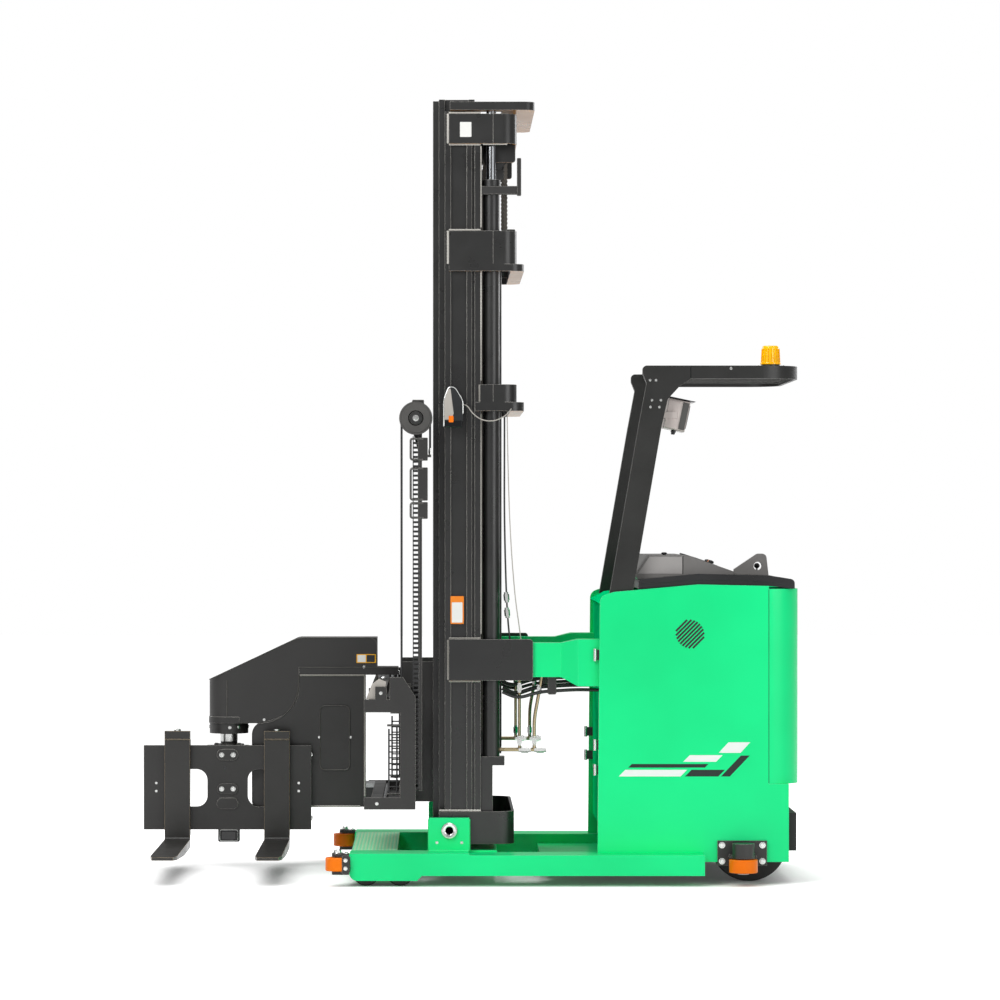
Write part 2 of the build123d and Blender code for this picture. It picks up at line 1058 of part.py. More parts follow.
def cylinder_post(side):
    """The post and saddle plate that a main cylinder stands on."""
    near = cylinder_y - post_width / 2
    far = mast_outer_y - band_thickness
    post = side_block(
        side,
        saddle_front_x,
        post_rear_x,
        near,
        far,
        outer_low_z,
        cylinder_low_z - saddle_thickness,
    )
    saddle = side_block(
        side,
        saddle_front_x,
        saddle_rear_x,
        near,
        far,
        cylinder_low_z - saddle_thickness,
        cylinder_low_z,
    )
    return post + saddle


keep("cylinder_posts", group([cylinder_post(side) for side in both_sides]))


def barrel(x, y, radius, bar_wall, gland, gland_height, rod, z0, z1):
    """A cylinder tube with a closed foot and a gland that guides the rod."""
    tube = rod_z(x, y, radius, z0, z1) + rod_z(x, y, gland, z1 - gland_height, z1)
    bore = rod_z(x, y, radius - bar_wall, z0 + rod_end_gap / 2, z1 - gland_height / 2)
    return tube - bore - rod_z(x, y, rod + running_gap, z1 - gland_height, z1 + overrun)


def main_barrel(side):
    """A main lift cylinder, standing on its saddle behind an upright."""
    return barrel(
        cylinder_x,
        side * cylinder_y,
        cylinder_radius,
        cylinder_wall,
        cylinder_gland_radius,
        cylinder_gland_height,
        rod_radius,
        cylinder_low_z,
        cylinder_top_z,
    )


keep("lift_cylinders", group([main_barrel(side) for side in both_sides]))
keep(
    "free_lift_barrel",
    barrel(
        free_x,
        0,
        free_radius,
        free_wall,
        free_radius,
        cylinder_gland_height,
        free_rod_radius,
        free_low_z,
        free_top_z,
    ),
)


def free_ram():
    """The inner stage's ram with its head and two chain wheels."""
    top = free_top_z + slide_gap
    pieces = [
        rod_z(free_x, 0, free_rod_radius, free_rod_low_z, top + free_head_height / 2),
        block(
            free_x - free_head_depth / 2,
            free_x + free_head_depth / 2,
            -free_head_width / 2,
            free_head_width / 2,
            top,
            top + free_head_height,
        ),
    ]
    head = fuse(pieces)
    for side in both_sides:
        middle = side * free_wheel_y
        half = free_wheel_width / 2
        z = top + free_head_height / 2
        head = head + rod_y(free_x, z, free_wheel_radius, middle - half, middle + half)
    return head


keep("free_lift_ram", free_ram())


def chain_loop(side):
    """A lift chain laid over its wheel, with a strand down the front and the rear."""
    z = free_top_z + slide_gap + free_head_height / 2
    middle = side * free_wheel_y
    half = chain_strand_width / 2
    outer_radius = free_wheel_radius + chain_strand_thickness
    ring = rod_y(free_x, z, outer_radius, middle - half, middle + half)
    ring = ring - rod_y(
        free_x, z, free_wheel_radius, middle - half - overrun, middle + half + overrun
    )
    below = block(
        free_x - outer_radius - overrun,
        free_x + outer_radius + overrun,
        middle - half - overrun,
        middle + half + overrun,
        z - outer_radius - overrun,
        z,
    )
    loop = ring - below
    for front in (free_x - outer_radius, free_x + free_wheel_radius):
        loop = loop + block(
            front,
            front + chain_strand_thickness,
            middle - half,
            middle + half,
            anchor_low_z + anchor_height / 2,
            z + overrun,
        )
    return loop


keep("lift_chains", group([chain_loop(side) for side in both_sides]))

# Lift carriage and the traverse frame it carries
back_front_x = back_beam_rear_x - back_beam_depth
carriage_roller_x = channel_middle(2)
carriage_roller_zs = (
    carriage_roller_low_z,
    carriage_roller_low_z + roller_spacing_z,
)


def end_plate(side):
    """The C-shaped plate that closes the traverse frame at one end."""
    points = [
        (end_front_x, end_low_z),
        (end_rear_x, end_low_z),
        (end_rear_x, end_top_z - end_chamfer_z),
        (end_rear_x - end_chamfer_x, end_top_z),
        (end_notch_x, end_top_z),
        (end_notch_x, end_arm_top_z),
        (end_front_x, end_arm_top_z),
        (end_front_x, end_high_bar_z),
        (end_window_rear_x, end_high_bar_z),
        (end_window_rear_x, end_low_bar_z),
        (end_front_x, end_low_bar_z),
    ]
    inner = end_plate_y - end_plate_thickness
    return side_prism(points, side * inner, side * end_plate_y)


def carriage_side(side):
    """A carriage plate with the two rollers that run in the inner upright."""
    far = carriage_plate_y + carriage_plate_thickness
    pieces = [
        side_block(
            side,
            carriage_plate_front_x,
            carriage_plate_rear_x,
            carriage_plate_y,
            far,
            carriage_plate_low_z,
            carriage_plate_low_z + carriage_plate_height,
        )
    ]
    channel_web = stage_outer(2) - section_recess - section_web
    outer = channel_web - roller_web_gap
    for z in carriage_roller_zs:
        pieces.append(
            rod_y(
                carriage_roller_x,
                z,
                roller_radius,
                side * outer,
                side * (outer - roller_width),
            )
        )
        pieces.append(
            rod_y(
                carriage_roller_x, z, roller_stub_radius, side * outer, side * (far - overrun)
            )
        )
    return pieces


def rack():
    """The toothed rack on the rear of the low rail."""
    inner = end_plate_y - end_plate_thickness
    front = low_rail_rear_x
    root = low_rail_rear_x + rack_depth / 2
    low = end_low_z + (low_rail_height - rack_height) / 2
    bar = block(front, root, -inner, inner, low, low + rack_height)
    count = int(2 * inner / rack_tooth_pitch)
    first = -(count - 1) * rack_tooth_pitch / 2
    for place in range(count):
        y = first + place * rack_tooth_pitch
        bar = bar + block(
            root - overrun,
            root + rack_depth / 2,
            y - rack_tooth_pitch / 4,
            y + rack_tooth_pitch / 4,
            low,
            low + rack_height,
        )
    return bar


def traverse_frame():
    """Two rails, the beams behind them and the plates that run in the mast."""
    inner = end_plate_y - end_plate_thickness
    back_x = back_front_x
    web = end_plate_thickness / 2
    join = inner + overrun
    rail_top = top_rail_low_z + top_rail_height
    top = block(
        top_rail_front_x,
        top_rail_rear_x,
        -end_plate_y,
        end_plate_y,
        top_rail_low_z,
        top_rail_low_z + top_rail_height,
    )
    low = block(
        low_rail_front_x, low_rail_rear_x, -join, join, end_low_z, end_low_z + low_rail_height
    )
    back_top = block(
        back_x, back_beam_rear_x, -join, join, top_rail_low_z, rail_top
    )
    back_low = block(
        back_x, back_beam_rear_x, -join, join, end_low_z, end_low_z + back_low_beam_height
    )
    top_web = block(
        top_rail_rear_x - overrun,
        back_x + overrun,
        -join,
        join,
        top_rail_low_z,
        top_rail_low_z + web,
    )
    low_web = block(
        low_rail_rear_x - overrun, back_x + overrun, -join, join, end_low_z, end_low_z + web
    )
    pieces = [top, top_web, back_top, back_low, low_web, low]
    for side in both_sides:
        pieces.append(end_plate(side))
        pieces += carriage_side(side)
        pieces.append(chain_anchor(side))
    return fuse(pieces)


def chain_anchor(side):
    """The arm that takes a lift chain, with a slot for the strand to pass."""
    middle = side * free_wheel_y
    half = anchor_width / 2
    top = anchor_low_z + anchor_height
    arm = block(
        back_beam_rear_x - overrun, anchor_rear_x, middle - half, middle + half, anchor_low_z, top
    )
    strand_front = free_x - free_wheel_radius - chain_strand_thickness
    slot_half = chain_strand_width / 2 + anchor_slot_gap
    slot = block(
        strand_front - anchor_slot_gap,
        strand_front + chain_strand_thickness + anchor_slot_gap,
        middle - slot_half,
        middle + slot_half,
        anchor_low_z - overrun,
        top + overrun,
    )
    return arm - slot


keep("traverse_frame", traverse_frame())
keep("traverse_rack", rack())

# Energy chain, its post and the hose pulley at the near end of the traverse frame
chain_y = -chain_post_y
chain_half_y = chain_width_y / 2
chain_bracket_y = chain_y + chain_half_y
hose_wrap = pulley_radius - pulley_groove + hose_radius + seat_gap
hose_rear_x = pulley_x + hose_wrap
hose_shelf_z = chain_post_top_z - pulley_radius


def chain_post():
    """The post that holds the energy chain, with its brackets and pulley arm."""
    post = block(
        chain_post_front_x,
        chain_post_rear_x,
        chain_y - chain_half_y,
        chain_y + chain_half_y,
        chain_post_low_z,
        chain_post_top_z,
    )
    far_y = chain_bracket_y + chain_bracket
    low = block(
        back_beam_rear_x,
        chain_post_rear_x,
        chain_bracket_y,
        far_y,
        chain_post_low_z,
        end_low_z + back_low_beam_height,
    )
    high = block(
        back_beam_rear_x,
        chain_post_rear_x,
        chain_bracket_y,
        far_y,
        top_rail_low_z,
        top_rail_low_z + top_rail_height,
    )
    arm_points = [
        (chain_post_rear_x, chain_post_top_z - pulley_radius),
        (chain_post_rear_x, pulley_z),
        (pulley_x, pulley_z + pulley_hub_radius),
        (pulley_x - pulley_hub_radius, pulley_z),
        (chain_post_front_x, chain_post_top_z - pulley_radius),
    ]
    arm = side_prism(arm_points, chain_bracket_y, far_y)
    pin = rod_y(
        pulley_x,
        pulley_z,
        pulley_pin_radius,
        far_y - overrun,
        chain_y - pulley_width / 2 - pulley_hub_proud,
    )
    shelf = block(
        chain_post_rear_x - overrun,
        hose_rear_x + hose_radius,
        chain_y - chain_half_y,
        far_y,
        hose_shelf_z - chain_bracket,
        hose_shelf_z,
    )
    return post + low + high + arm + pin + shelf


def energy_chain():
    """The chain of links that leads the hoses up the post."""
    front = chain_post_front_x - chain_width_x
    low = chain_post_low_z + chain_end_margin
    high = chain_post_top_z + chain_end_margin
    pieces = []
    near = chain_y - chain_half_y
    far = chain_y + chain_half_y
    for x in (front, chain_post_front_x - chain_side):
        pieces.append(block(x, x + chain_side, near, far, low, high))
    count = int((high - low) / chain_pitch)
    for place in range(count):
        z = low + place * chain_pitch
        pieces.append(
            block(front, chain_post_front_x, near, far, z, z + chain_rung)
        )
    return fuse(pieces)


def hose_pulley():
    """The grooved pulley at the head of the post."""
    half = pulley_width / 2
    wheel = rod_y(pulley_x, pulley_z, pulley_radius, chain_y - half, chain_y + half - pulley_hub_proud)
    hub = rod_y(
        pulley_x,
        pulley_z,
        pulley_hub_radius,
        chain_y - half - pulley_hub_proud,
        chain_y + half - pulley_hub_proud,
    )
    groove_half = pulley_groove / 2
    ring = rod_y(
        pulley_x, pulley_z, pulley_radius + overrun, chain_y - groove_half, chain_y + groove_half
    )
    core = rod_y(
        pulley_x,
        pulley_z,
        pulley_radius - pulley_groove,
        chain_y - groove_half - overrun,
        chain_y + groove_half + overrun,
    )
    bore = rod_y(
        pulley_x,
        pulley_z,
        pulley_pin_radius + running_gap,
        chain_y - half - pulley_hub_proud - overrun,
        chain_y + half + overrun,
    )
    return wheel + hub - (ring - core) - bore


def carriage_hose():
    """The hose from the traverse frame up over the pulley to the post's shelf."""
    front = pulley_x - hose_wrap
    rear = hose_rear_x
    path = Polyline(
        (front, chain_y, top_rail_low_z + top_rail_height), (front, chain_y, pulley_z)
    )
    arc = ThreePointArc(
        (front, chain_y, pulley_z),
        (pulley_x, chain_y, pulley_z + hose_wrap),
        (rear, chain_y, pulley_z),
    )
    down = Polyline((rear, chain_y, pulley_z), (rear, chain_y, hose_shelf_z))
    start = Plane(origin=(front, chain_y, top_rail_low_z + top_rail_height), z_dir=(0, 0, 1))
    return sweep(start * Circle(hose_radius), path=Wire(path.edges() + arc.edges() + down.edges()))


keep("chain_post", chain_post())
keep("energy_chain", energy_chain())
keep("hose_pulley", hose_pulley())
keep("carriage_hose", carriage_hose())

# Traversing head
head_near_y = head_home_y - head_thickness / 2
head_far_y = head_home_y + head_thickness / 2


def head_column():
    """The column that hangs on the rails and the arm over the swivel."""
    points = [
        (head_toe_x, head_low_z),
        (head_rear_x, head_low_z),
        (head_rear_x, head_shoulder_z),
        (head_shoulder_x, head_shoulder_z),
        (head_shoulder_x, head_bend_z),
        (head_bend_x, head_bend_low_z),
        (head_toe_x, head_toe_top_z),
    ]
    radii = (0, 0, 0, 0, head_bend_radius, 0, 0)
    column = side_prism(points, head_near_y, head_far_y, radii)
    bar = block(
        head_shoulder_x,
        head_bar_rear_x,
        head_near_y,
        head_far_y,
        head_shoulder_z,
        head_shoulder_z + head_bar_thickness,
    )
    hatch_points = [
        (hatch_front_x, hatch_low_z),
        (hatch_rear_x, hatch_low_z),
        (hatch_rear_x, hatch_high_z),
        (hatch_front_x, hatch_high_z),
    ]
    hatch = side_prism(
        hatch_points, head_near_y - hatch_proud, head_near_y + overrun, (hatch_radius,) * 4
    )
    return column + bar + hatch


def cover_arm(column):
    """The cover over the column and the arm, with a nose that is round from above."""
    inset = (head_thickness - cover_arm_thickness) / 2
    near = head_near_y + inset
    far = head_far_y - inset
    points = [
        (cover_arm_front_x, cover_arm_low_z),
        (cover_arm_front_x, cover_arm_nose_z),
        (cover_arm_slope_x, cover_arm_top_z),
        (cover_arm_rear_x, cover_arm_top_z),
        (cover_arm_rear_x, head_shoulder_z),
        (head_shoulder_x + head_bend_radius, head_shoulder_z),
        (head_shoulder_x + head_bend_radius, cover_arm_low_z),
    ]
    shell = side_prism(points, near, far, (0, 0, cover_arm_bend_radius, 0, 0, 0, 0))
    plan = [
        (cover_arm_front_x, near),
        (cover_arm_rear_x, near),
        (cover_arm_rear_x, far),
        (cover_arm_front_x, far),
    ]
    nose = plan_prism(
        plan,
        cover_arm_low_z - overrun,
        cover_arm_top_z + overrun,
        (cover_nose_radius, 0, 0, cover_nose_radius),
    )
    proud = cover_collar_proud
    front = cover_arm_front_x - proud
    rear = cover_arm_front_x + cover_nose_radius + cover_collar_length
    ring = [
        (front, near - proud),
        (rear, near - proud),
        (rear, far + proud),
        (front, far + proud),
    ]
    collar = plan_prism(
        ring,
        cover_arm_low_z,
        cover_arm_low_z + cover_collar_height,
        (cover_nose_radius, 0, 0, cover_nose_radius),
    )
    return (shell & nose) + collar - column


def pivot_housing():
    """The bearing housing under the arm, bored for the swivel's shaft."""
    low = cover_arm_low_z - pivot_housing_height
    housing = rod_z(head_axis_x, head_home_y, pivot_housing_radius, low, cover_arm_low_z)
    bore = rod_z(
        head_axis_x,
        head_home_y,
        swivel_shaft_radius + running_gap,
        low - overrun,
        cover_arm_low_z + overrun,
    )
    return housing - bore


def head_bearings():
    """Rollers behind the top rail and the pads that slide on both rails."""
    x = top_rail_rear_x + seat_gap + bearing_radius
    pieces = []
    for side in both_sides:
        y = head_home_y + side * bearing_inset_y
        pieces.append(
            rod_z(x, y, bearing_radius, head_shoulder_z - bearing_height, head_shoulder_z)
        )
    rail_top = top_rail_low_z + top_rail_height
    pieces.append(
        block(
            top_rail_front_x,
            top_rail_rear_x,
            head_near_y,
            head_far_y,
            rail_top + seat_gap,
            head_shoulder_z,
        )
    )
    pieces.append(
        block(
            head_rear_x,
            low_rail_front_x - seat_gap,
            head_near_y,
            head_far_y,
            end_low_z,
            end_low_z + low_rail_height,
        )
    )
    return group(pieces)


column_shape = head_column()
keep("head_column", column_shape)
keep("head_cover", cover_arm(column_shape))
keep("pivot_housing", pivot_housing())
keep("head_bearings", head_bearings())


# Turning fork carriage. Lengths out are measured from the swivel's axis towards -Y
def turret_block(x0, x1, out0, out1, z0, z1):
    """A box beside the swivel's axis."""
    return block(
        head_axis_x + x0, head_axis_x + x1, head_home_y - out1, head_home_y - out0, z0, z1
    )


def end_prism(points, x0, x1, radii=None):
    """An outline of lengths out and Z points, carried along X."""
    face = outline([(x0, head_home_y - out, z) for out, z in points], radii)
    return extrude(face, amount=x1 - x0, dir=(1, 0, 0))


def swivel_hub():
    """The turning column: shaft, hub, webs to the fork plate and the sensor."""
    x, y = head_axis_x, head_home_y
    plate_back = plate_offset_y - plate_thickness
    hub = rod_z(x, y, hub_radius, plate_low_z, plate_high_z)
    shaft = rod_z(x, y, swivel_shaft_radius, plate_high_z - overrun, cover_arm_low_z - slide_gap)
    sensor = rod_z(x, y, sensor_radius, plate_low_z - sensor_height, plate_low_z + overrun)
    web = turret_block(
        -plate_web_half, plate_web_half, 0, plate_back, plate_low_z, plate_high_z
    )
    whole = hub + shaft + sensor + web
    for low in (plate_low_z, plate_high_z - plate_rail_height):
        whole = whole + turret_block(
            -plate_rail_half,
            plate_rail_half,
            plate_back - plate_rail_thickness,
            plate_back,
            low,
            low + plate_rail_height,
        )
    return whole


def plate_hole(side):
    """A window in the fork plate, rounded on the side towards the middle."""
    near = head_axis_x + side * plate_hole_near
    far = head_axis_x + side * plate_hole_far
    points = [
        (near, plate_hole_low_z),
        (far, plate_hole_low_z),
        (far, plate_hole_high_z),
        (near, plate_hole_high_z),
    ]
    front = head_home_y - plate_offset_y
    radii = (plate_hole_radius, 0, 0, plate_hole_radius)
    return side_prism(points, front - overrun, front + plate_thickness + overrun, radii)


def fork_plate():
    """The plate the forks hang on, with two windows and two oblong lugs."""
    plate = turret_block(
        -plate_half_length,
        plate_half_length,
        plate_offset_y - plate_thickness,
        plate_offset_y,
        plate_low_z,
        plate_high_z,
    )
    for side in both_sides:
        plate = plate - plate_hole(side)
    front = head_home_y - plate_offset_y
    for z in (lug_low_z, lug_high_z):
        lug = turret_block(
            -lug_half_length,
            lug_half_length,
            plate_offset_y - overrun,
            plate_offset_y + lug_proud,
            z - lug_half_height,
            z + lug_half_height,
        )
        lug = fillet(lug.edges().filter_by(Axis.Y), lug_half_height - overrun)
        plate = plate + lug
    return plate


def fork(middle_x):
    """One fork: shank, two hooks over the plate's edges and the tapered blade."""
    back = plate_offset_y + slide_gap
    face = plate_offset_y + fork_thickness
    tip = face + fork_length
    top = fork_low_z + fork_thickness
    points = [
        (back, fork_low_z),
        (tip - fork_taper_length, fork_low_z),
        (tip, top - fork_tip_thickness),
        (tip, top),
        (face, top),
        (face, fork_high_z),
        (back, fork_high_z),
    ]
    half = fork_width / 2
    x0 = head_axis_x + middle_x - half
    x1 = head_axis_x + middle_x + half
    body = end_prism(points, x0, x1, (fork_heel_radius, 0, 0, 0, fork_throat_radius, 0, 0))
    tip_half = fork_tip_width / 2
    middle = head_axis_x + middle_x
    wedge = plan_prism(
        [
            (x0, head_home_y - back + overrun),
            (x0, head_home_y - tip + fork_tip_length),
            (middle - tip_half, head_home_y - tip),
            (middle + tip_half, head_home_y - tip),
            (x1, head_home_y - tip + fork_tip_length),
            (x1, head_home_y - back + overrun),
        ],
        fork_low_z - overrun,
        fork_high_z + overrun,
    )
    body = body & wedge
    plate_back = plate_offset_y - plate_thickness
    lip_back = plate_back - fork_hook_gap - fork_hook_lip_thickness
    edges = (
        (plate_high_z + fork_hook_gap, plate_high_z - fork_hook_lip, fork_hook_depth),
        (
            plate_low_z - fork_hook_gap - fork_hook_depth,
            plate_low_z - fork_hook_gap,
            fork_hook_depth,
        ),
    )
    for hook_z, lip_z, depth in edges:
        hook = turret_block(
            middle_x - half, middle_x + half, lip_back, back + overrun, hook_z, hook_z + depth
        )
        lip = turret_block(
            middle_x - half,
            middle_x + half,
            lip_back,
            plate_back - fork_hook_gap,
            lip_z - overrun,
            lip_z + fork_hook_lip + overrun,
        )
        body = body + hook + lip
    return body


keep("swivel_hub", swivel_hub())
keep("fork_plate", fork_plate())
keep("fork_outer", fork(-fork_spacing))
keep("fork_inner", fork(fork_spacing))


# Ties between the mast and the body
def tie_arm(side):
    """The arm from the mast's tie plate to the body's front, wider at the body."""
    low_z = tie_arm_low_z
    high_z = low_z + tie_arm_height
    straight = side_block(
        side,
        tie_arm_front_x,
        tie_arm_knee_x,
        mast_outer_y - tie_arm_width,
        mast_outer_y,
        low_z,
        high_z,
    )
    rear_inner_y = tie_arm_rear_outer_y - tie_arm_rear_width
    rear_low_z = tie_arm_rear_low_z
    rear_high_z = rear_low_z + tie_arm_rear_height
    rear = side_block(
        side,
        tie_arm_wide_x,
        front_wall_x,
        rear_inner_y,
        tie_arm_rear_outer_y,
        rear_low_z,
        rear_high_z,
    )
    front_middle = mast_outer_y - tie_arm_width / 2
    front_face = Plane(
        origin=(tie_arm_knee_x, side * front_middle, (low_z + high_z) / 2),
        x_dir=(0, 1, 0),
        z_dir=(1, 0, 0),
    )
    rear_middle = (rear_inner_y + tie_arm_rear_outer_y) / 2
    rear_face = Plane(
        origin=(tie_arm_wide_x, side * rear_middle, (rear_low_z + rear_high_z) / 2),
        x_dir=(0, 1, 0),
        z_dir=(1, 0, 0),
    )
    profiles = [
        front_face * Rectangle(tie_arm_width, tie_arm_height),
        rear_face * Rectangle(tie_arm_rear_width, tie_arm_rear_height),
    ]
    return straight + loft(profiles) + rear


keep("tie_arms", group([tie_arm(side) for side in both_sides]))

# Overhead guard

def guard_post(side):
    """A raked front post with its neck up into the roof."""
    points = [
        (post_foot_x, post_foot_z),
        (post_low_front_x, post_low_z),
        (post_high_front_x, post_high_z),
        (neck_front_x, neck_front_z),
        (roof_head_front_x, neck_front_z + roof_flange),
        (roof_head_front_x, roof_top_z),
        (roof_seam_x, roof_top_z),
        (roof_seam_x, roof_low_z),
        (gusset_x, gusset_z),
        (neck_rear_x, neck_rear_z),
        (post_high_rear_x, post_high_z),
        (post_low_rear_x, post_low_z),
        (post_low_rear_x, post_foot_z),
    ]
    radii = (0, 0, 0, neck_radius, neck_radius, neck_radius, 0, 0, 0, neck_radius, 0, 0, 0)
    return side_prism(points, side * post_inner_y, side * post_half_y, radii)


def guard_frame():
    """Two posts and the angle-section rim of the roof."""
    front = roof_seam_x - overrun
    rim = u_band(
        front, roof_rear_x, post_half_y, roof_wall, roof_corner_radius, roof_low_z, roof_top_z
    )
    flange = u_band(
        front,
        roof_rear_x,
        post_half_y,
        roof_wall + roof_flange,
        roof_corner_radius,
        roof_top_z - roof_flange_thickness,
        roof_top_z,
    )
    beam = block(
        roof_beam_front_x,
        roof_bar_front_x,
        -post_half_y + overrun,
        post_half_y - overrun,
        roof_beam_low_z,
        roof_top_z,
    )
    return fuse([guard_post(side) for side in both_sides] + [rim, flange, beam])


def roof_bars():
    """The bars across the roof, from the front beam to the rear rim."""
    high = roof_top_z - roof_flange_thickness
    low = high - roof_bar_height
    first = -(roof_bar_count - 1) * roof_bar_step / 2
    bars = []
    for place in range(roof_bar_count):
        y = first + place * roof_bar_step
        bars.append(
            block(
                roof_bar_front_x,
                roof_rear_x - roof_wall,
                y - roof_bar_width / 2,
                y + roof_bar_width / 2,
                low,
                high,
            )
        )
    return group(bars)


guard_shape = guard_frame()
posts_shape = fuse([guard_post(side) for side in both_sides])
keep("guard_frame", guard_shape)
keep("roof_bars", roof_bars())


# Body of the machine
def side_panel(side):
    """The plate that closes one side of the body, from the battery bay to the rear."""
    points = [
        (body_front_low_x, body_front_low_z),
        (body_step_x, body_front_low_z),
        (body_step_x, body_low_z),
        (lower_rear_x, body_low_z),
        (lower_rear_x, corner_low_z),
        (body_seam_x, corner_low_z),
        (body_seam_x, body_seam_z),
        (body_crest_x, body_crest_z),
        (body_front_mid_x, body_front_mid_z),
        (body_front_top_x, body_front_top_z),
    ]
    radii = (0, 0, 0, 0, 0, 0, 0, 0, 0, body_corner_radius)
    return side_prism(points, side * (body_half_width - wall), side * body_half_width, radii)


keep("side_panels", group([side_panel(side) for side in both_sides]))


def rear_corner(side, reach_y):
    """A rounded rear corner of the body with the plate that closes it below."""
    half = body_half_width
    outer = [
        (body_seam_x, side * half),
        (body_rear_x, side * half),
        (body_rear_x, reach_y),
        (body_seam_x, reach_y),
    ]
    inner = [
        (body_seam_x - overrun, side * (half - wall)),
        (body_rear_x - wall, side * (half - wall)),
        (body_rear_x - wall, reach_y - side * overrun),
        (body_seam_x - overrun, reach_y - side * overrun),
    ]
    radius = corner_reach_y - wall / 2
    whole = plan_prism(outer, corner_low_z, body_rear_top_z, (0, radius, 0, 0))
    hollow = plan_prism(
        inner,
        corner_low_z + skirt_thickness,
        body_rear_top_z + overrun,
        (0, radius - wall, 0, 0),
    )
    motor_way = rod_z(
        drive_x, drive_y, motor_radius + motor_gap, corner_low_z - overrun, body_rear_top_z
    )
    return whole - hollow - motor_way


keep(
    "rear_corners",
    group([rear_corner(-1, aisle_y - wall), rear_corner(1, aisle_far_y + wall)]),
)

inner_half = body_half_width - wall
drive_well = rod_z(drive_x, drive_y, drive_well_radius, 0, drive_well_top_z)


def wall_plate(x0, x1, y0, y1, z0, z1):
    """A plate of the body's inner walls, cut away where the guard's posts stand."""
    return block(x0, x1, y0, y1, z0, z1) - posts_shape


def front_lid():
    """The sloping lid between the side panels in front of the top cover."""
    points = [
        (body_front_top_x, body_front_top_z - 2 * lid_thickness),
        (body_front_mid_x, body_front_mid_z - lid_thickness),
        (cover_front_x, cover_front_low_z - lid_thickness),
        (cover_front_x, cover_front_low_z - 2 * lid_thickness),
        (front_wall_x + wall, body_front_top_z - 3 * lid_thickness),
        (front_wall_x, body_front_top_z - 3 * lid_thickness),
    ]
    return side_prism(points, -inner_half, inner_half) - posts_shape


def body_walls():
    """The walls round the battery bay, the machine room and the operator's well."""
    lid_z = body_front_top_z - 3 * lid_thickness
    rear_wall_x = lower_rear_x - wall
    near_wall = aisle_y - wall
    far_wall = aisle_far_y + wall
    low = block(
        rear_wall_x, lower_rear_x, -inner_half, near_wall, body_low_z, corner_low_z
    )
    far = block(rear_wall_x, lower_rear_x, far_wall, inner_half, body_low_z, corner_low_z)
    sill = block(
        rear_wall_x, lower_rear_x, near_wall - overrun, far_wall + overrun, body_low_z, floor_z
    )
    pieces = [
        wall_plate(front_wall_x, front_wall_x + wall, -inner_half, inner_half, floor_z, lid_z),
        front_lid(),
        wall_plate(
            bay_wall_x, well_front_x, -inner_half, inner_half, body_front_low_z, well_top_z
        ),
        block(
            well_front_x, body_rear_x - wall, near_wall, aisle_y, floor_z, well_top_z
        ),
        block(
            well_front_x, body_rear_x - wall, aisle_far_y, far_wall, floor_z, well_top_z
        ),
        (low + sill + far) - drive_well,
    ]
    return group(pieces)


def floor_pieces():
    """The battery pan, the operator's floor, the low pan and the drive's deck."""
    rear = lower_rear_x - wall
    bay_pan = block(
        front_wall_x + wall,
        bay_wall_x,
        -battery_half_width,
        battery_half_width,
        rear_beam_top_z,
        battery_low_z,
    )
    floor = block(
        well_front_x, rear, -inner_half, inner_half, floor_z - floor_thickness, floor_z
    )
    pan = block(body_step_x, rear, -inner_half, inner_half, body_low_z, body_low_z + pan_thickness)
    caster_well = rod_z(
        caster_x, caster_y, caster_well_radius, body_low_z - overrun, caster_top_z
    )
    caster_pad = rod_z(
        caster_x,
        caster_y,
        caster_plate_radius,
        caster_top_z + seat_gap,
        floor_z - floor_thickness,
    )
    caster_bore = rod_z(
        caster_x, caster_y, caster_pin_radius + running_gap, caster_top_z, caster_pad_top_z
    )
    deck_low = yoke_top_z + turntable_thickness + seat_gap
    deck = block(
        well_front_x,
        rear,
        -inner_half,
        aisle_y - wall,
        deck_low,
        deck_low + drive_deck_thickness,
    )
    motor_bore = rod_z(
        drive_x,
        drive_y,
        motor_radius + running_gap,
        deck_low - overrun,
        deck_low + drive_deck_thickness + overrun,
    )
    return [
        bay_pan,
        (floor - drive_well) + (caster_pad - caster_bore),
        pan - drive_well - caster_well,
        deck - motor_bore,
    ]


keep("body_walls", body_walls())
keep("body_floor", group(floor_pieces()))
keep(
    "battery_pack",
    block(
        battery_front_x,
        bay_wall_x - battery_margin_x,
        -battery_half_width,
        battery_half_width,
        battery_low_z,
        battery_low_z + battery_height,
    ),
)


def rear_bumper():
    """The step and bumper across the rear, hollowed behind the drive wheel."""
    bar = block(
        lower_rear_x,
        lower_rear_x + step_depth,
        step_margin_y - body_half_width,
        body_half_width - step_margin_y,
        step_low_z,
        step_low_z + step_height,
    )
    entry = block(
        lower_rear_x - overrun,
        lower_rear_x + step_depth + overrun,
        aisle_y - wall,
        aisle_far_y + wall,
        floor_z,
        step_low_z + step_height + overrun,
    )
    return bar - entry - drive_well


def well_pads():
    """The two pads on the walls of the operator's well."""
    high = pad_low_z + pad_height
    front_x = well_front_x + pad_margin_x
    rear_x = lower_rear_x - pad_rear_gap
    near = block(front_x, rear_x, aisle_y, aisle_y + pad_thickness, pad_low_z, high)
    far = block(front_x, rear_x, aisle_far_y - pad_thickness, aisle_far_y, pad_low_z, high)
    pads = [fillet(pad.edges().filter_by(Axis.Y), pad_radius) for pad in (near, far)]
    return group(pads)


keep("rear_bumper", rear_bumper())
keep("well_pads", well_pads())


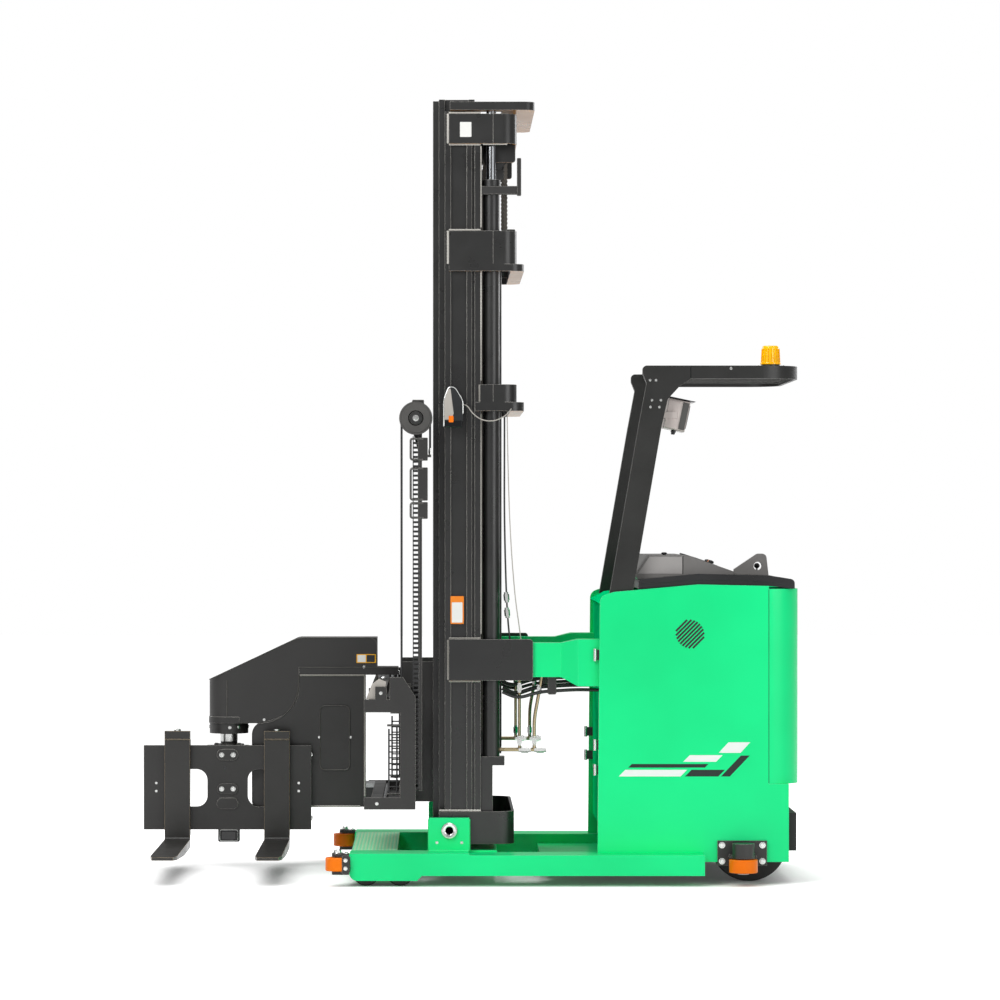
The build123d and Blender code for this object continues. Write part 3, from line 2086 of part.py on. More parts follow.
def top_cover():
    """The black cover on the body's top, open over the operator's well."""
    rise = cover_crest_z - body_crest_z
    points = [
        (cover_front_x, cover_front_low_z),
        (body_crest_x, body_crest_z + seat_gap),
        (body_seam_x, body_seam_z + seat_gap),
        (cover_rear_x, body_rear_top_z + seat_gap),
        (cover_rear_x, body_rear_top_z + cover_edge),
        (body_seam_x, body_seam_z + rise),
        (body_crest_x, cover_crest_z),
        (cover_front_x, cover_front_low_z + cover_edge),
    ]
    radii = (0, 0, 0, 0, cover_edge / 2, 0, 0, cover_edge / 3)
    cover = side_prism(points, -cover_half_width, cover_half_width, radii)
    well = block(
        cover_well_front_x,
        cover_rear_x + overrun,
        aisle_y,
        aisle_far_y,
        body_seam_z - rise,
        cover_crest_z + overrun,
    )
    return cover - well


cover_shape = top_cover()
keep("top_cover", cover_shape)


def console():
    """The grey console that slopes towards the operator."""
    base = body_seam_z + cover_edge / 2
    points = [
        (console_front_x, console_low_z),
        (console_ridge_x, console_top_z),
        (console_back_x, console_top_z),
        (console_rear_x, console_rear_z),
        (console_rear_x, base),
        (cover_front_x + cover_edge, base),
        (cover_front_x, console_low_z - cover_edge / 2),
    ]
    near_y = console_near_margin - body_half_width
    far_y = body_half_width - console_far_margin
    whole = side_prism(points, near_y, far_y, (0, 0, body_corner_radius, 0, 0, 0, 0))
    return whole - cover_shape


def hand_guard():
    """The fin beside the console that the hand goes behind, with its round hole."""
    peak_x = guard_hand_front_x + guard_hand_peak_x
    rear_x = guard_hand_front_x + guard_hand_length
    low_z = console_low_z - cover_edge
    points = [
        (guard_hand_front_x, low_z),
        (guard_hand_front_x, guard_hand_start_z),
        (peak_x, guard_hand_top_z),
        (peak_x + guard_hand_peak_length, guard_hand_top_z),
        (rear_x, low_z),
    ]
    half = guard_hand_width / 2
    radius = body_corner_radius / 2
    near = guard_hand_y - half
    far = guard_hand_y + half
    fin = side_prism(points, near, far, (0, 0, radius, radius, 0))
    hole = rod_y(
        guard_hand_front_x + guard_hand_hole_x,
        guard_hand_hole_z,
        guard_hand_hole,
        near - overrun,
        far + overrun,
    )
    return fin - hole - cover_shape


keep("console", console())
keep("hand_guard", hand_guard())

# Beacon, display and mast lamp
beacon_base = block(
    beacon_x - beacon_plate / 2,
    beacon_x + beacon_plate / 2,
    beacon_y - beacon_plate / 2,
    beacon_y + beacon_plate / 2,
    roof_top_z - beacon_plate_thickness,
    roof_top_z,
) + rod_z(beacon_x, beacon_y, beacon_radius, roof_top_z, roof_top_z + beacon_base_height)
beacon_low_z = roof_top_z + beacon_base_height
beacon_lens = Pos(beacon_x, beacon_y, beacon_low_z) * Cone(
    beacon_radius,
    beacon_top_radius,
    beacon_height - beacon_base_height,
    align=(Align.CENTER, Align.CENTER, Align.MIN),
)
beacon_lens = fillet(beacon_lens.edges().sort_by(Axis.Z)[-1], beacon_dome)
keep("beacon_base", beacon_base - guard_shape)
keep("beacon_lens", beacon_lens)


def display_unit():
    """The tilted display inside the near post, on a short beam."""
    box = Box(display_depth, display_width, display_height)
    box = fillet(box.edges().filter_by(Axis.X), display_beam / 2)
    middle_z = display_low_z + display_height / 2
    box = Pos(display_x, display_y, middle_z) * Rot(0, display_tilt, 0) * box
    beam = block(
        display_beam_x,
        display_x,
        -post_inner_y,
        display_y,
        display_beam_z,
        display_beam_z + display_beam,
    )
    return box + beam - posts_shape


keep("display_unit", display_unit())


def mast_lamp():
    """The warning lamp's housing on the near upright, over its lens."""
    points = [
        (lamp_front_x, lamp_low_z + lamp_lens_height),
        (lamp_rear_x, lamp_low_z + lamp_lens_height),
        (lamp_rear_x, lamp_shoulder_z),
        (lamp_top_rear_x, lamp_top_z),
        (lamp_top_x, lamp_top_z),
        (lamp_front_x, lamp_shoulder_z),
    ]
    radii = (0, 0, lamp_radius, lamp_radius, lamp_radius, lamp_radius)
    return side_prism(points, -mast_outer_y, -(mast_outer_y + lamp_depth), radii)


keep("mast_lamp", mast_lamp())


# Drive unit
def drive_yoke():
    """The yoke, turntable and upright motor that steer with the drive wheel."""
    inner = drive_width / 2 + yoke_gap
    outer = inner + yoke_thickness
    axle_z = drive_radius
    bridge_low = 2 * drive_radius + yoke_gap
    pieces = [
        block(
            drive_x - yoke_reach,
            drive_x + yoke_reach,
            drive_y - outer,
            drive_y + outer,
            bridge_low,
            yoke_top_z + overrun,
        ),
        rod_z(drive_x, drive_y, turntable_radius, yoke_top_z, yoke_top_z + turntable_thickness),
        rod_z(
            drive_x,
            drive_y,
            motor_radius,
            yoke_top_z + turntable_thickness - overrun,
            yoke_top_z + turntable_thickness + motor_height,
        ),
    ]
    for side in both_sides:
        y0 = drive_y + side * inner
        y1 = drive_y + side * outer
        low, high = sorted((y0, y1))
        arm = block(
            drive_x - yoke_reach, drive_x + yoke_reach, low, high, axle_z, bridge_low + overrun
        )
        boss = rod_y(drive_x, axle_z, yoke_reach, low, high)
        bore = rod_y(
            drive_x, axle_z, drive_axle_radius + running_gap, low - overrun, high + overrun
        )
        pieces.append(arm + boss - bore)
    return fuse(pieces)


keep("drive_yoke", drive_yoke())

drive_half = drive_width / 2
drive_tyre = rod_y(drive_x, drive_radius, drive_radius, drive_y - drive_half, drive_y + drive_half)
drive_tyre = fillet(drive_tyre.edges().filter_by(GeomType.CIRCLE), load_tyre_crown)
drive_core = rod_y(
    drive_x,
    drive_radius,
    drive_hub_radius,
    drive_y - drive_half - overrun,
    drive_y + drive_half + overrun,
)
drive_hub = rod_y(
    drive_x, drive_radius, drive_hub_radius, drive_y - drive_half, drive_y + drive_half
)
for side in both_sides:
    face = drive_y + side * drive_half
    dish = rod_y(
        drive_x,
        drive_radius,
        drive_hub_radius - drive_hub_recess,
        face + side * overrun,
        face - side * drive_hub_recess,
    )
    drive_hub = drive_hub - dish
drive_axle_reach = drive_half + yoke_gap + yoke_thickness
drive_hub = drive_hub + rod_y(
    drive_x,
    drive_radius,
    drive_axle_radius,
    drive_y - drive_axle_reach,
    drive_y + drive_axle_reach,
)
keep("drive_tyre", drive_tyre - drive_core)
keep("drive_hub", drive_hub)

# Caster
caster_axle_x = caster_x + caster_trail


def caster_fork():
    """The swivelling plate, its stem between the wheels and the axle."""
    plate = rod_z(
        caster_x,
        caster_y,
        caster_plate_radius,
        caster_top_z - caster_plate_thickness,
        caster_top_z,
    )
    pin = rod_z(
        caster_x, caster_y, caster_pin_radius, caster_top_z - overrun, caster_pad_top_z - seat_gap
    )
    neck = caster_plate_radius / 2
    points = [
        (caster_x - neck, caster_top_z - caster_plate_thickness / 2),
        (caster_x + neck, caster_top_z - caster_plate_thickness / 2),
        (caster_axle_x + neck / 2, caster_radius),
        (caster_axle_x, caster_radius - neck / 2),
        (caster_axle_x - neck / 2, caster_radius),
    ]
    half = caster_stem_thickness / 2
    stem = side_prism(points, caster_y - half, caster_y + half)
    reach = caster_twin_gap / 2 + caster_tyre_width
    axle = rod_y(
        caster_axle_x, caster_radius, caster_axle_radius, caster_y - reach, caster_y + reach
    )
    return plate + pin + stem + axle


def caster_wheels():
    """The caster's pair of wheels."""
    pieces = []
    for side in both_sides:
        inner = caster_y + side * caster_twin_gap / 2
        outer = inner + side * caster_tyre_width
        wheel = rod_y(caster_axle_x, caster_radius, caster_radius, inner, outer)
        wheel = fillet(wheel.edges().filter_by(GeomType.CIRCLE), load_tyre_crown)
        bore = rod_y(
            caster_axle_x,
            caster_radius,
            caster_axle_radius + running_gap,
            inner - side * overrun,
            outer + side * overrun,
        )
        pieces.append(wheel - bore)
    return group(pieces)


keep("caster_fork", caster_fork())
keep("caster_wheels", caster_wheels())


# Guide rollers
def guide_roller(x, y, radius, low_z):
    """A guide roller with a bore for its upright pin."""
    roller = rod_z(x, y, radius, low_z, low_z + guide_height)
    roller = fillet(roller.edges().filter_by(GeomType.CIRCLE), load_tyre_crown)
    bore = rod_z(x, y, guide_bore + running_gap, low_z - overrun, low_z + guide_height + overrun)
    return roller - bore


def guide_jaws(side):
    """The two plates and the pin that hold a front guide roller at an arm's nose."""
    x = guide_front_x
    low_z = guide_front_low_z - guide_jaw_gap - guide_jaw_thickness
    high_z = guide_front_low_z + guide_height + guide_jaw_gap
    pin = rod_z(
        x, side * guide_front_y, guide_bore, low_z, high_z + guide_jaw_thickness
    )
    pieces = [pin]
    for z in (low_z, high_z):
        points = [
            (x - guide_jaw_half_x, side * guide_jaw_inner_y),
            (arm_front_x, side * guide_jaw_inner_y),
            (arm_front_x, side * guide_jaw_outer_y),
            (x - guide_jaw_half_x, side * guide_jaw_outer_y),
        ]
        radius = guide_jaw_half_x / 2
        pieces.append(plan_prism(points, z, z + guide_jaw_thickness, (radius, 0, 0, radius)))
    return fuse(pieces)


def guide_hanger(side):
    """The plate on the body's side, its arm, pin and nut over a rear guide roller."""
    inner = body_half_width
    plate = side_block(
        side,
        guide_rear_x - guide_plate_width / 2,
        guide_rear_x + guide_plate_width / 2,
        inner,
        inner + guide_plate_thickness,
        guide_plate_low_z,
        guide_plate_low_z + guide_plate_height,
    )
    arm_low = guide_rear_low_z + guide_height + guide_jaw_gap
    arm = side_block(
        side,
        guide_rear_x - guide_arm_half_x,
        guide_rear_x + guide_arm_half_x,
        inner,
        guide_rear_y,
        arm_low,
        arm_low + guide_jaw_thickness,
    )
    y = side * guide_rear_y
    nut_top = arm_low + guide_jaw_thickness + guide_nut_height
    eye = rod_z(guide_rear_x, y, guide_nut_radius, arm_low, nut_top)
    pin = rod_z(guide_rear_x, y, guide_bore, guide_rear_low_z, arm_low + overrun)
    return plate + arm + eye + pin


keep("guide_jaws", group([guide_jaws(side) for side in both_sides]))
keep("guide_hangers", group([guide_hanger(side) for side in both_sides]))
for side, word in ((-1, "near"), (1, "far")):
    keep(
        f"guide_roller_{word}_front",
        guide_roller(guide_front_x, side * guide_front_y, guide_radius, guide_front_low_z),
    )
    keep(
        f"guide_roller_{word}_rear",
        guide_roller(guide_rear_x, side * guide_rear_y, guide_rear_radius, guide_rear_low_z),
    )

for name, shape in nodes.items():
    export_step(shape, f"parts/{name}.step")
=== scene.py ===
# %% [markdown]
# # A turret truck, dressed for the studio
#
# The construction comes in as a fixed frame of solids: base, telescopic mast,
# traversing head, forks, operator's body and guard. This file gives every
# surface its finish, adds the small things that are too fine for a solid
# (bolts, weld beads, pipes, hoses, chains, signs and lamps), and sets up the
# camera and the light. Blender's lengths are metres, in the frame of the
# solids. Places and sizes of small pieces are given in millimetres.

# %% Load the frame
import json
import math

import bpy
import numpy as np
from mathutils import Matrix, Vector

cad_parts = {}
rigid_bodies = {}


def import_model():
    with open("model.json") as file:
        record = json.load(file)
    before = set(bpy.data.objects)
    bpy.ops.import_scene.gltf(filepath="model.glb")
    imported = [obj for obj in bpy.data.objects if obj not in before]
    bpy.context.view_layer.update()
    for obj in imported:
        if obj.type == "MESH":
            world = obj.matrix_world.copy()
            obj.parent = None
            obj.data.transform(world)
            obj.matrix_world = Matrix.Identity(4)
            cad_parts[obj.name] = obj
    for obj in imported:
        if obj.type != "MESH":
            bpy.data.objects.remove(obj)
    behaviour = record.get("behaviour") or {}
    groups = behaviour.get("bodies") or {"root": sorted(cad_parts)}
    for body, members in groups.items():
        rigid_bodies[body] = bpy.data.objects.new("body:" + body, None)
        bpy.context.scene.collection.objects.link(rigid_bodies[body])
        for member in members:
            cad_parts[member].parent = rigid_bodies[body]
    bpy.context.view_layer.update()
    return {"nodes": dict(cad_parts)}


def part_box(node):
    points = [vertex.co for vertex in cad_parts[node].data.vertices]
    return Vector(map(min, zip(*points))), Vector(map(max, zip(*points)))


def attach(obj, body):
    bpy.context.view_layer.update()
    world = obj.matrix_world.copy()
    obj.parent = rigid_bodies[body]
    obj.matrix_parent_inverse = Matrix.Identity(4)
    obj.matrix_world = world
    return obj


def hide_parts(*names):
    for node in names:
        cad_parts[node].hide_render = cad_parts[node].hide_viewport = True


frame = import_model()
nodes = frame["nodes"]
MM = 0.001

# %% Find the foot pins that the small pieces are placed from
low_corner, high_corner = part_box("foot_pins")
foot_x = ((low_corner + high_corner) / 2)[0]
print("foot pin axis at x", round(foot_x, 4))

# %% [markdown]
# ## The photograph's view
#
# The photograph was taken from far off with a long lens, square to the
# machine's side, because the near and far uprights almost cover each other.
# The fork blades fix the distance: they come towards the camera by a known
# length, and how much they drop in the picture gives the rest. The lens's
# shift puts the machine where the photograph has it without turning the camera.

# %% Camera
PHOTO_SIZE_PX = 1000
AXIS_PX = (440, 520)
FOCAL_PX = 4216
SENSOR_MM = 36.0
CAMERA_DISTANCE = 19.6
CAMERA_HEIGHT = 1.64
CAMERA_X = foot_x - 0.042

lens = bpy.data.cameras.new("photo_camera")
lens.sensor_width = SENSOR_MM
lens.lens = FOCAL_PX / PHOTO_SIZE_PX * SENSOR_MM
lens.shift_x = (PHOTO_SIZE_PX / 2 - AXIS_PX[0]) / PHOTO_SIZE_PX
lens.shift_y = (AXIS_PX[1] - PHOTO_SIZE_PX / 2) / PHOTO_SIZE_PX
lens.clip_end = 200.0
camera = bpy.data.objects.new("photo_camera", lens)
camera.location = (CAMERA_X, -CAMERA_DISTANCE, CAMERA_HEIGHT)
camera.rotation_euler = (math.pi / 2, 0.0, 0.0)
bpy.context.scene.collection.objects.link(camera)
bpy.context.scene.camera = camera
print("lens", round(lens.lens, 1), "mm")

# %% [markdown]
# ## Node helpers
#
# A finish is a small graph of shader nodes. One function adds a node, sets its
# properties and joins its sockets, so that each finish below reads as a recipe.
# Colours are written as the sRGB hex values that a paint chart would give, and
# one function turns them into the linear numbers that the renderer works with.


# %% Colours and nodes
def linear(hex_colour):
    """Turns an sRGB hex colour to linear light: each channel by the sRGB curve."""
    channels = np.array([int(hex_colour[i : i + 2], 16) / 255 for i in (1, 3, 5)])
    low = channels / 12.92
    high = ((channels + 0.055) / 1.055) ** 2.4
    return (*np.where(channels <= 0.04045, low, high).tolist(), 1.0)


def add(tree, kind, inputs=None, **settings):
    """Adds one node; a socket among the inputs is linked, any other value is set."""
    made = tree.nodes.new("ShaderNode" + kind)
    for name, value in settings.items():
        setattr(made, name, value)
    for name, value in (inputs or {}).items():
        if isinstance(value, bpy.types.NodeSocket):
            tree.links.new(value, made.inputs[name])
        else:
            made.inputs[name].default_value = value
    return made


def start_material(name):
    """An empty material with its output, and Object coordinates to pattern by."""
    material = bpy.data.materials.new(name)
    material.use_nodes = True
    tree = material.node_tree
    tree.nodes.clear()
    place = add(tree, "TexCoord").outputs["Object"]
    return material, tree, place


def finish_material(tree, shader):
    """Joins a shader to the material's output."""
    add(tree, "OutputMaterial", {"Surface": shader})


def principled(tree, inputs):
    """Ends a material with the principled shader."""
    finish_material(tree, add(tree, "BsdfPrincipled", inputs).outputs["BSDF"])


def noise(tree, place, scale, detail):
    """A cloudy pattern, with its scale in clouds to the metre."""
    inputs = {"Vector": place, "Scale": scale, "Detail": detail}
    return add(tree, "TexNoise", inputs).outputs["Fac"]


def ramp(tree, factor, first, last):
    """A colour ramp between two pairs of place and colour."""
    made = add(tree, "ValToRGB", {"Fac": factor})
    elements = made.color_ramp.elements
    elements[0].position, elements[0].color = first
    elements[1].position, elements[1].color = last
    return made.outputs["Color"]


def tones(tree, factor, shade, colour, low=0.3, high=0.7):
    """The two colours of a pattern, as hex values."""
    return ramp(tree, factor, (low, linear(shade)), (high, linear(colour)))


def dullness(tree, factor, rough, least, most):
    """A roughness that wanders between two shares of its middle value."""
    low, high = ((rough * share,) * 3 + (1.0,) for share in (least, most))
    return ramp(tree, factor, (0.3, low), (0.7, high))


def mapped(tree, value, from_min, from_max, to_min=0.0, to_max=1.0, kind="LINEAR"):
    """A number carried from one range to another, and held at the range's ends."""
    inputs = {"Value": value, "From Min": from_min, "From Max": from_max}
    inputs |= {"To Min": to_min, "To Max": to_max}
    return add(tree, "MapRange", inputs, interpolation_type=kind).outputs["Result"]


def mixed(tree, share, colour, other):
    """The colour where the share is 0, and the other one where it is 1."""
    inputs = {"Fac": share, "Color1": colour, "Color2": other}
    return add(tree, "MixRGB", inputs).outputs["Color"]


def soft_edges(tree, edge_mm):
    """A normal that rounds the edges off."""
    return add(tree, "Bevel", {"Radius": edge_mm * MM}, samples=4).outputs["Normal"]


def bump(tree, height, strength, distance_mm, normal=None):
    """A normal that follows the height of a pattern."""
    inputs = {"Height": height, "Strength": strength, "Distance": distance_mm * MM}
    if normal is not None:
        inputs["Normal"] = normal
    return add(tree, "Bump", inputs).outputs["Normal"]


# %% [markdown]
# ## Paint
#
# The machine's body is steel, primed and sprayed with a glossy green enamel.
# Enamel has a faint orange peel a few millimetres across, which breaks up its
# highlights, and its colour drifts a little over a large panel. The mast, the
# head and the guard are powder coated: a finer, duller skin with a grain of
# about a millimetre. One recipe serves both, with its own numbers for each.


# %% Painted steel
def edge_highlight_share(tree, bevel_normal):
    """1 along the rounded edges and 0 on flat faces, for the painted highlight: how far the
    bevel turns the normal.
    """
    face = add(tree, "NewGeometry").outputs["Normal"]
    same = add(tree, "VectorMath", {0: bevel_normal, 1: face}, operation="DOT_PRODUCT")
    return mapped(tree, same.outputs["Value"], 0.985, 0.80, kind="SMOOTHSTEP")


def down_share(tree):
    """1 on faces that look down and 0 on the rest: where the painted reflection goes."""
    face = add(tree, "NewGeometry").outputs["Normal"]
    parts = add(tree, "SeparateXYZ", {"Vector": face})
    return mapped(tree, parts.outputs["Z"], -0.6, -0.95)


def painted_steel(name, colour, shade, rough, peel_mm, peel, coat=0.0, edge_mm=2.0,
        edge=None, shine=0.5, under=None):
    """Paint on steel: a slow drift between two colours, a fine bump and rounded edges.

    edge is a paler colour along the rounded edges, a painted highlight, and the warmer
    colour for faces that look down is a painted reflection of warm bounce light; either may
    be left out.
    """
    material, tree, place = start_material(name)
    body = tones(tree, noise(tree, place, 1.3, 3.0), shade, colour, 0.35, 0.65)
    normal = soft_edges(tree, edge_mm)
    # Painted highlight: a paler colour mixed in along the rounded edges.
    if edge:
        body = mixed(tree, edge_highlight_share(tree, normal), body, linear(edge))
    # Painted reflection: a warm colour on faces that look down, for warm bounce light.
    if under:
        body = mixed(tree, down_share(tree), body, linear(under))
    skin = noise(tree, place, 1 / (peel_mm * MM), 2.0)
    dust = noise(tree, place, 9.0, 5.0)
    principled(tree, {
        "Base Color": body,
        "Roughness": dullness(tree, dust, rough, 0.86, 1.16),
        "Normal": bump(tree, skin, peel, 0.2, normal),
        "Specular IOR Level": shine,
        "Coat Weight": coat,
        "Coat Roughness": 0.08,
    })
    return material


# The edge colours below are painted highlights along the rounded edges.
green_enamel = painted_steel("green_enamel", "#00F090", "#00E286", 0.36, 5.0, 0.06,
    coat=0.1, edge="#8CFBC8", shine=0.28)
green_matt = painted_steel("green_matt", "#00E68C", "#00D880", 0.7, 5.0, 0.06, shine=0.0)
black_powder_coat = painted_steel("black_powder_coat", "#2B2A29", "#232221", 0.4, 1.6, 0.16,
    edge_mm=3.0, edge="#B4B1AA")
# The mast's warm colour on faces that look down is a painted reflection of warm bounce
# light.
mast_powder_coat = painted_steel("mast_powder_coat", "#272726", "#1C1C1C", 0.3, 2.2, 0.3,
    edge_mm=3.0, edge="#C6C3BC", under="#BC8240")
guard_powder_coat = painted_steel("guard_powder_coat", "#1A1A17", "#131311", 0.4, 1.6, 0.12,
    edge_mm=2.5, edge="#84817A")
# The forks' tan edge colour is partly worn bare steel and partly a painted highlight.
fork_paint = painted_steel("fork_paint", "#2D2C2A", "#232220", 0.34, 3.0, 0.15, edge_mm=3.5,
    edge="#C9B28C")
stripe_white = painted_steel("stripe_white", "#F4F7F4", "#EDF2EE", 0.35, 5.0, 0.03,
    coat=0.1, shine=0.3)
stripe_grey = painted_steel("stripe_grey", "#1F2925", "#1A2320", 0.35, 5.0, 0.03, coat=0.1,
    shine=0.3)

# %% [markdown]
# ## Bare metal
#
# Rods and axles are bare steel. A lift rod is ground and hard chromed, so it
# is a mirror with a very fine ring pattern round it. Rollers, pins and bolts
# are turned or zinc plated: a softer, brushed sheen. A metal's colour is its
# reflection, so it gets full metallic and the pattern goes to the roughness.


# %% Chrome, steel and cast iron
def bare_metal(name, colour, rough, grain_mm, stretch, marks_depth):
    """A metal with a grain that is stretched along one axis, as tool marks are."""
    material, tree, place = start_material(name)
    stretched = add(tree, "Mapping", {"Vector": place, "Scale": stretch})
    marks = noise(tree, stretched.outputs["Vector"], 1 / (grain_mm * MM), 3.0)
    clean = linear(colour)
    stained = (*[0.82 * channel for channel in clean[:3]], 1.0)
    stain = noise(tree, place, 14.0, 4.0)
    principled(tree, {
        "Base Color": ramp(tree, stain, (0.3, stained), (0.7, clean)),
        "Metallic": 1.0,
        "Roughness": dullness(tree, marks, rough, 0.75, 1.3),
        "Normal": bump(tree, marks, marks_depth, 0.1),
    })
    return material


EVEN = (1.0, 1.0, 1.0)
ground_chrome = bare_metal("ground_chrome", "#8F9194", 0.16, 2.0, (0.2, 0.2, 4.0), 0.05)
zinc_plated_steel = bare_metal("zinc_plated_steel", "#DADBD9", 0.24, 3.0, EVEN, 0.10)
machined_steel = bare_metal("machined_steel", "#A9ABAC", 0.28, 1.5, (1.0, 6.0, 1.0), 0.12)
yellow_zinc_steel = bare_metal("yellow_zinc_steel", "#A99A7C", 0.3, 3.0, EVEN, 0.10)
chain_steel = bare_metal("chain_steel", "#5C5853", 0.38, 2.5, (1.0, 1.0, 3.0), 0.15)
cast_iron_black = painted_steel("cast_iron_black", "#1C1C1C", "#151515", 0.5, 2.6, 0.5)

# %% [markdown]
# ## Plastics and rubber
#
# The console and the covers are moulded or formed plastic with a leather-like
# grain of about a millimetre, the guide rollers are cast polyurethane, and the
# hoses and pads are rubber. They share one recipe: a colour that drifts, a cell
# pattern for the grain, and a sheen set by the roughness.


# %% Moulded plastic and rubber
def moulded(name, colour, shade, rough, grain_mm, grain, edge_mm=1.5, shine=0.5):
    """Plastic or rubber out of a mould: cells of the mould's grain under a soft sheen."""
    material, tree, place = start_material(name)
    drift = noise(tree, place, 4.0, 4.0)
    cells = add(tree, "TexVoronoi", {"Vector": place, "Scale": 1 / (grain_mm * MM)})
    skin = bump(tree, cells.outputs["Distance"], grain, 0.2, soft_edges(tree, edge_mm))
    principled(tree, {
        "Base Color": tones(tree, drift, shade, colour),
        "Roughness": dullness(tree, drift, rough, 0.9, 1.12),
        "Normal": skin,
        "Specular IOR Level": shine,
    })
    return material


console_plastic = moulded("console_plastic", "#757371", "#666462", 0.38, 1.4, 0.3)
cover_plastic = moulded("cover_plastic", "#17181A", "#101113", 0.3, 1.4, 0.2)
display_plastic = moulded("display_plastic", "#D9CFCA", "#C6BBB6", 0.34, 1.2, 0.2)
roller_urethane = moulded("roller_urethane", "#FF8008", "#F87202", 0.36, 2.0, 0.08,
    shine=0.2)
tread_urethane = moulded("tread_urethane", "#1D1B1A", "#151413", 0.5, 2.0, 0.15)
wheel_urethane = moulded("wheel_urethane", "#2B2320", "#211A18", 0.42, 2.0, 0.12)
chain_plastic = moulded("chain_plastic", "#1C1C1D", "#131314", 0.4, 1.0, 0.15, edge_mm=1.0)
pad_rubber = moulded("pad_rubber", "#161616", "#101010", 0.6, 1.5, 0.3)
hose_rubber = moulded("hose_rubber", "#1D1D1E", "#151516", 0.45, 1.0, 0.15)
lamp_plastic = moulded("lamp_plastic", "#1F2124", "#17191B", 0.3, 1.2, 0.15)
label_orange = moulded("label_orange", "#F28A1E", "#EC8116", 0.4, 3.0, 0.03)
label_white = moulded("label_white", "#EDEDE9", "#E4E4E0", 0.4, 3.0, 0.03)
label_yellow = moulded("label_yellow", "#F8B500", "#F2AC00", 0.4, 3.0, 0.03)
screen_glass = moulded("screen_glass", "#0E1114", "#0A0C0F", 0.12, 6.0, 0.01)
pulley_plastic = moulded("pulley_plastic", "#4E4D4B", "#434240", 0.42, 1.2, 0.15)
lamp_shell = moulded("lamp_shell", "#B9B4AD", "#A7A29B", 0.3, 1.2, 0.1)
# A paler copy of the console plastic: painted light on the lit front part of the console's
# near face.
console_lit_face_plastic = moulded("console_lit_face_plastic", "#A3A09E", "#8E8B89", 0.36, 1.2, 0.2)


def amber_acrylic(name, colour, deep):
    """Tinted acrylic: light passes through and colours as it goes, under a hard gloss."""
    material, tree, place = start_material(name)
    principled(tree, {
        "Base Color": tones(tree, noise(tree, place, 18.0, 2.0), deep, colour),
        "Roughness": 0.12,
        "IOR": 1.49,
        "Transmission Weight": 0.35,
        "Emission Color": linear(colour),
        "Emission Strength": 0.18,
    })
    return material


amber_lens = amber_acrylic("amber_lens", "#FFD400", "#FFC400")
lamp_lens = amber_acrylic("lamp_lens", "#FF8A10", "#F27400")
amber_rib = amber_acrylic("amber_rib", "#F2B400", "#E0A000")


# %% [markdown]
# ## The step plate
#
# The plate between the front arms is a place to step, so it carries an
# anti-slip pattern: rows of small round studs pressed up from below. Real
# studs are a few millimetres across, far too many to model one by one. They are
# worked out in the shader from the plate's own coordinates: distance from the
# nearest point of a grid, turned into a smooth bump and a lighter cap on each
# stud. The plate's green is paler than the body's: painted light that makes up
# for the shade under the head.


# %% Studded step plate
def studded_enamel(name, colour, stud_cap, pitch_mm, stud_share):
    """Enamel with a grid of round studs: the height falls off from each grid point."""
    material, tree, place = start_material(name)
    grid = {"Vector": place, "Scale": 1 / (pitch_mm * MM), "Randomness": 0.0}
    cells = add(tree, "TexVoronoi", grid, voronoi_dimensions="2D").outputs["Distance"]
    stud = mapped(tree, cells, stud_share * 0.6, stud_share, 1.0, 0.0, "SMOOTHSTEP")
    principled(tree, {
        "Base Color": tones(tree, stud, colour, stud_cap, 0.0, 1.0),
        "Roughness": 0.5,
        "Normal": bump(tree, stud, 0.9, 1.5),
    })
    return material


# Painted light: the plate's pale green makes up for the shade that the head casts on it.
step_plate_enamel = studded_enamel("step_plate_enamel", "#86FABE", "#DCFFC8", 16.0, 0.42)

# %% [markdown]
# ## Finishes for the solids
#
# Each solid keeps its own mesh and takes one finish. A table says which, and a
# loop puts it into the solid's material slot.

# %% Give each solid its finish
FINISHES = (
    (green_enamel, "base_frame tie_arms side_panels rear_corners"),
    (green_matt, "body_walls"),
    (step_plate_enamel, "deck_plate"),
    (mast_powder_coat, "outer_uprights outer_bands cylinder_posts lift_cylinders"),
    (mast_powder_coat, "middle_stage inner_stage free_lift_barrel"),
    (machined_steel, "load_axles free_lift_ram traverse_rack head_bearings"),
    (zinc_plated_steel, "foot_pins caster_fork"),
    (ground_chrome, "lift_rods"),
    (chain_steel, "lift_chains"),
    (black_powder_coat, "body_floor battery_pack guide_jaws guide_hangers"),
    (black_powder_coat, "traverse_frame chain_post head_column head_cover"),
    (black_powder_coat, "pivot_housing swivel_hub fork_plate"),
    (fork_paint, "fork_outer fork_inner"),
    (guard_powder_coat, "guard_frame roof_bars"),
    (pad_rubber, "rear_bumper well_pads"),
    (cover_plastic, "top_cover beacon_base"),
    (console_plastic, "console hand_guard"),
    (amber_lens, "beacon_lens"),
    (display_plastic, "display_unit"),
    (lamp_plastic, "mast_lamp"),
    (cast_iron_black, "drive_yoke drive_hub"),
    (tread_urethane, "drive_tyre caster_wheels"),
    (chain_plastic, "energy_chain"),
    (pulley_plastic, "hose_pulley"),
    (hose_rubber, "carriage_hose"),
    (wheel_urethane, "load_wheel_near_front load_wheel_near_rear"),
    (wheel_urethane, "load_wheel_far_front load_wheel_far_rear"),
    (roller_urethane, "guide_roller_near_front guide_roller_near_rear"),
    (roller_urethane, "guide_roller_far_front guide_roller_far_rear"),
)
finish_of = {name: finish for finish, names in FINISHES for name in names.split()}
for name, node in nodes.items():
    node.data.materials.clear()
    node.data.materials.append(finish_of[name])
print("solids finished:", len(finish_of))

# %% [markdown]
# ## Shapes from arrays
#
# Every new piece below is a surface worked out with numpy. Three builders
# cover them all: a grid of points joined into quads, a round profile carried
# along a path, and a flat outline given a thickness. The points come as whole
# arrays, and one function turns them into a mesh.


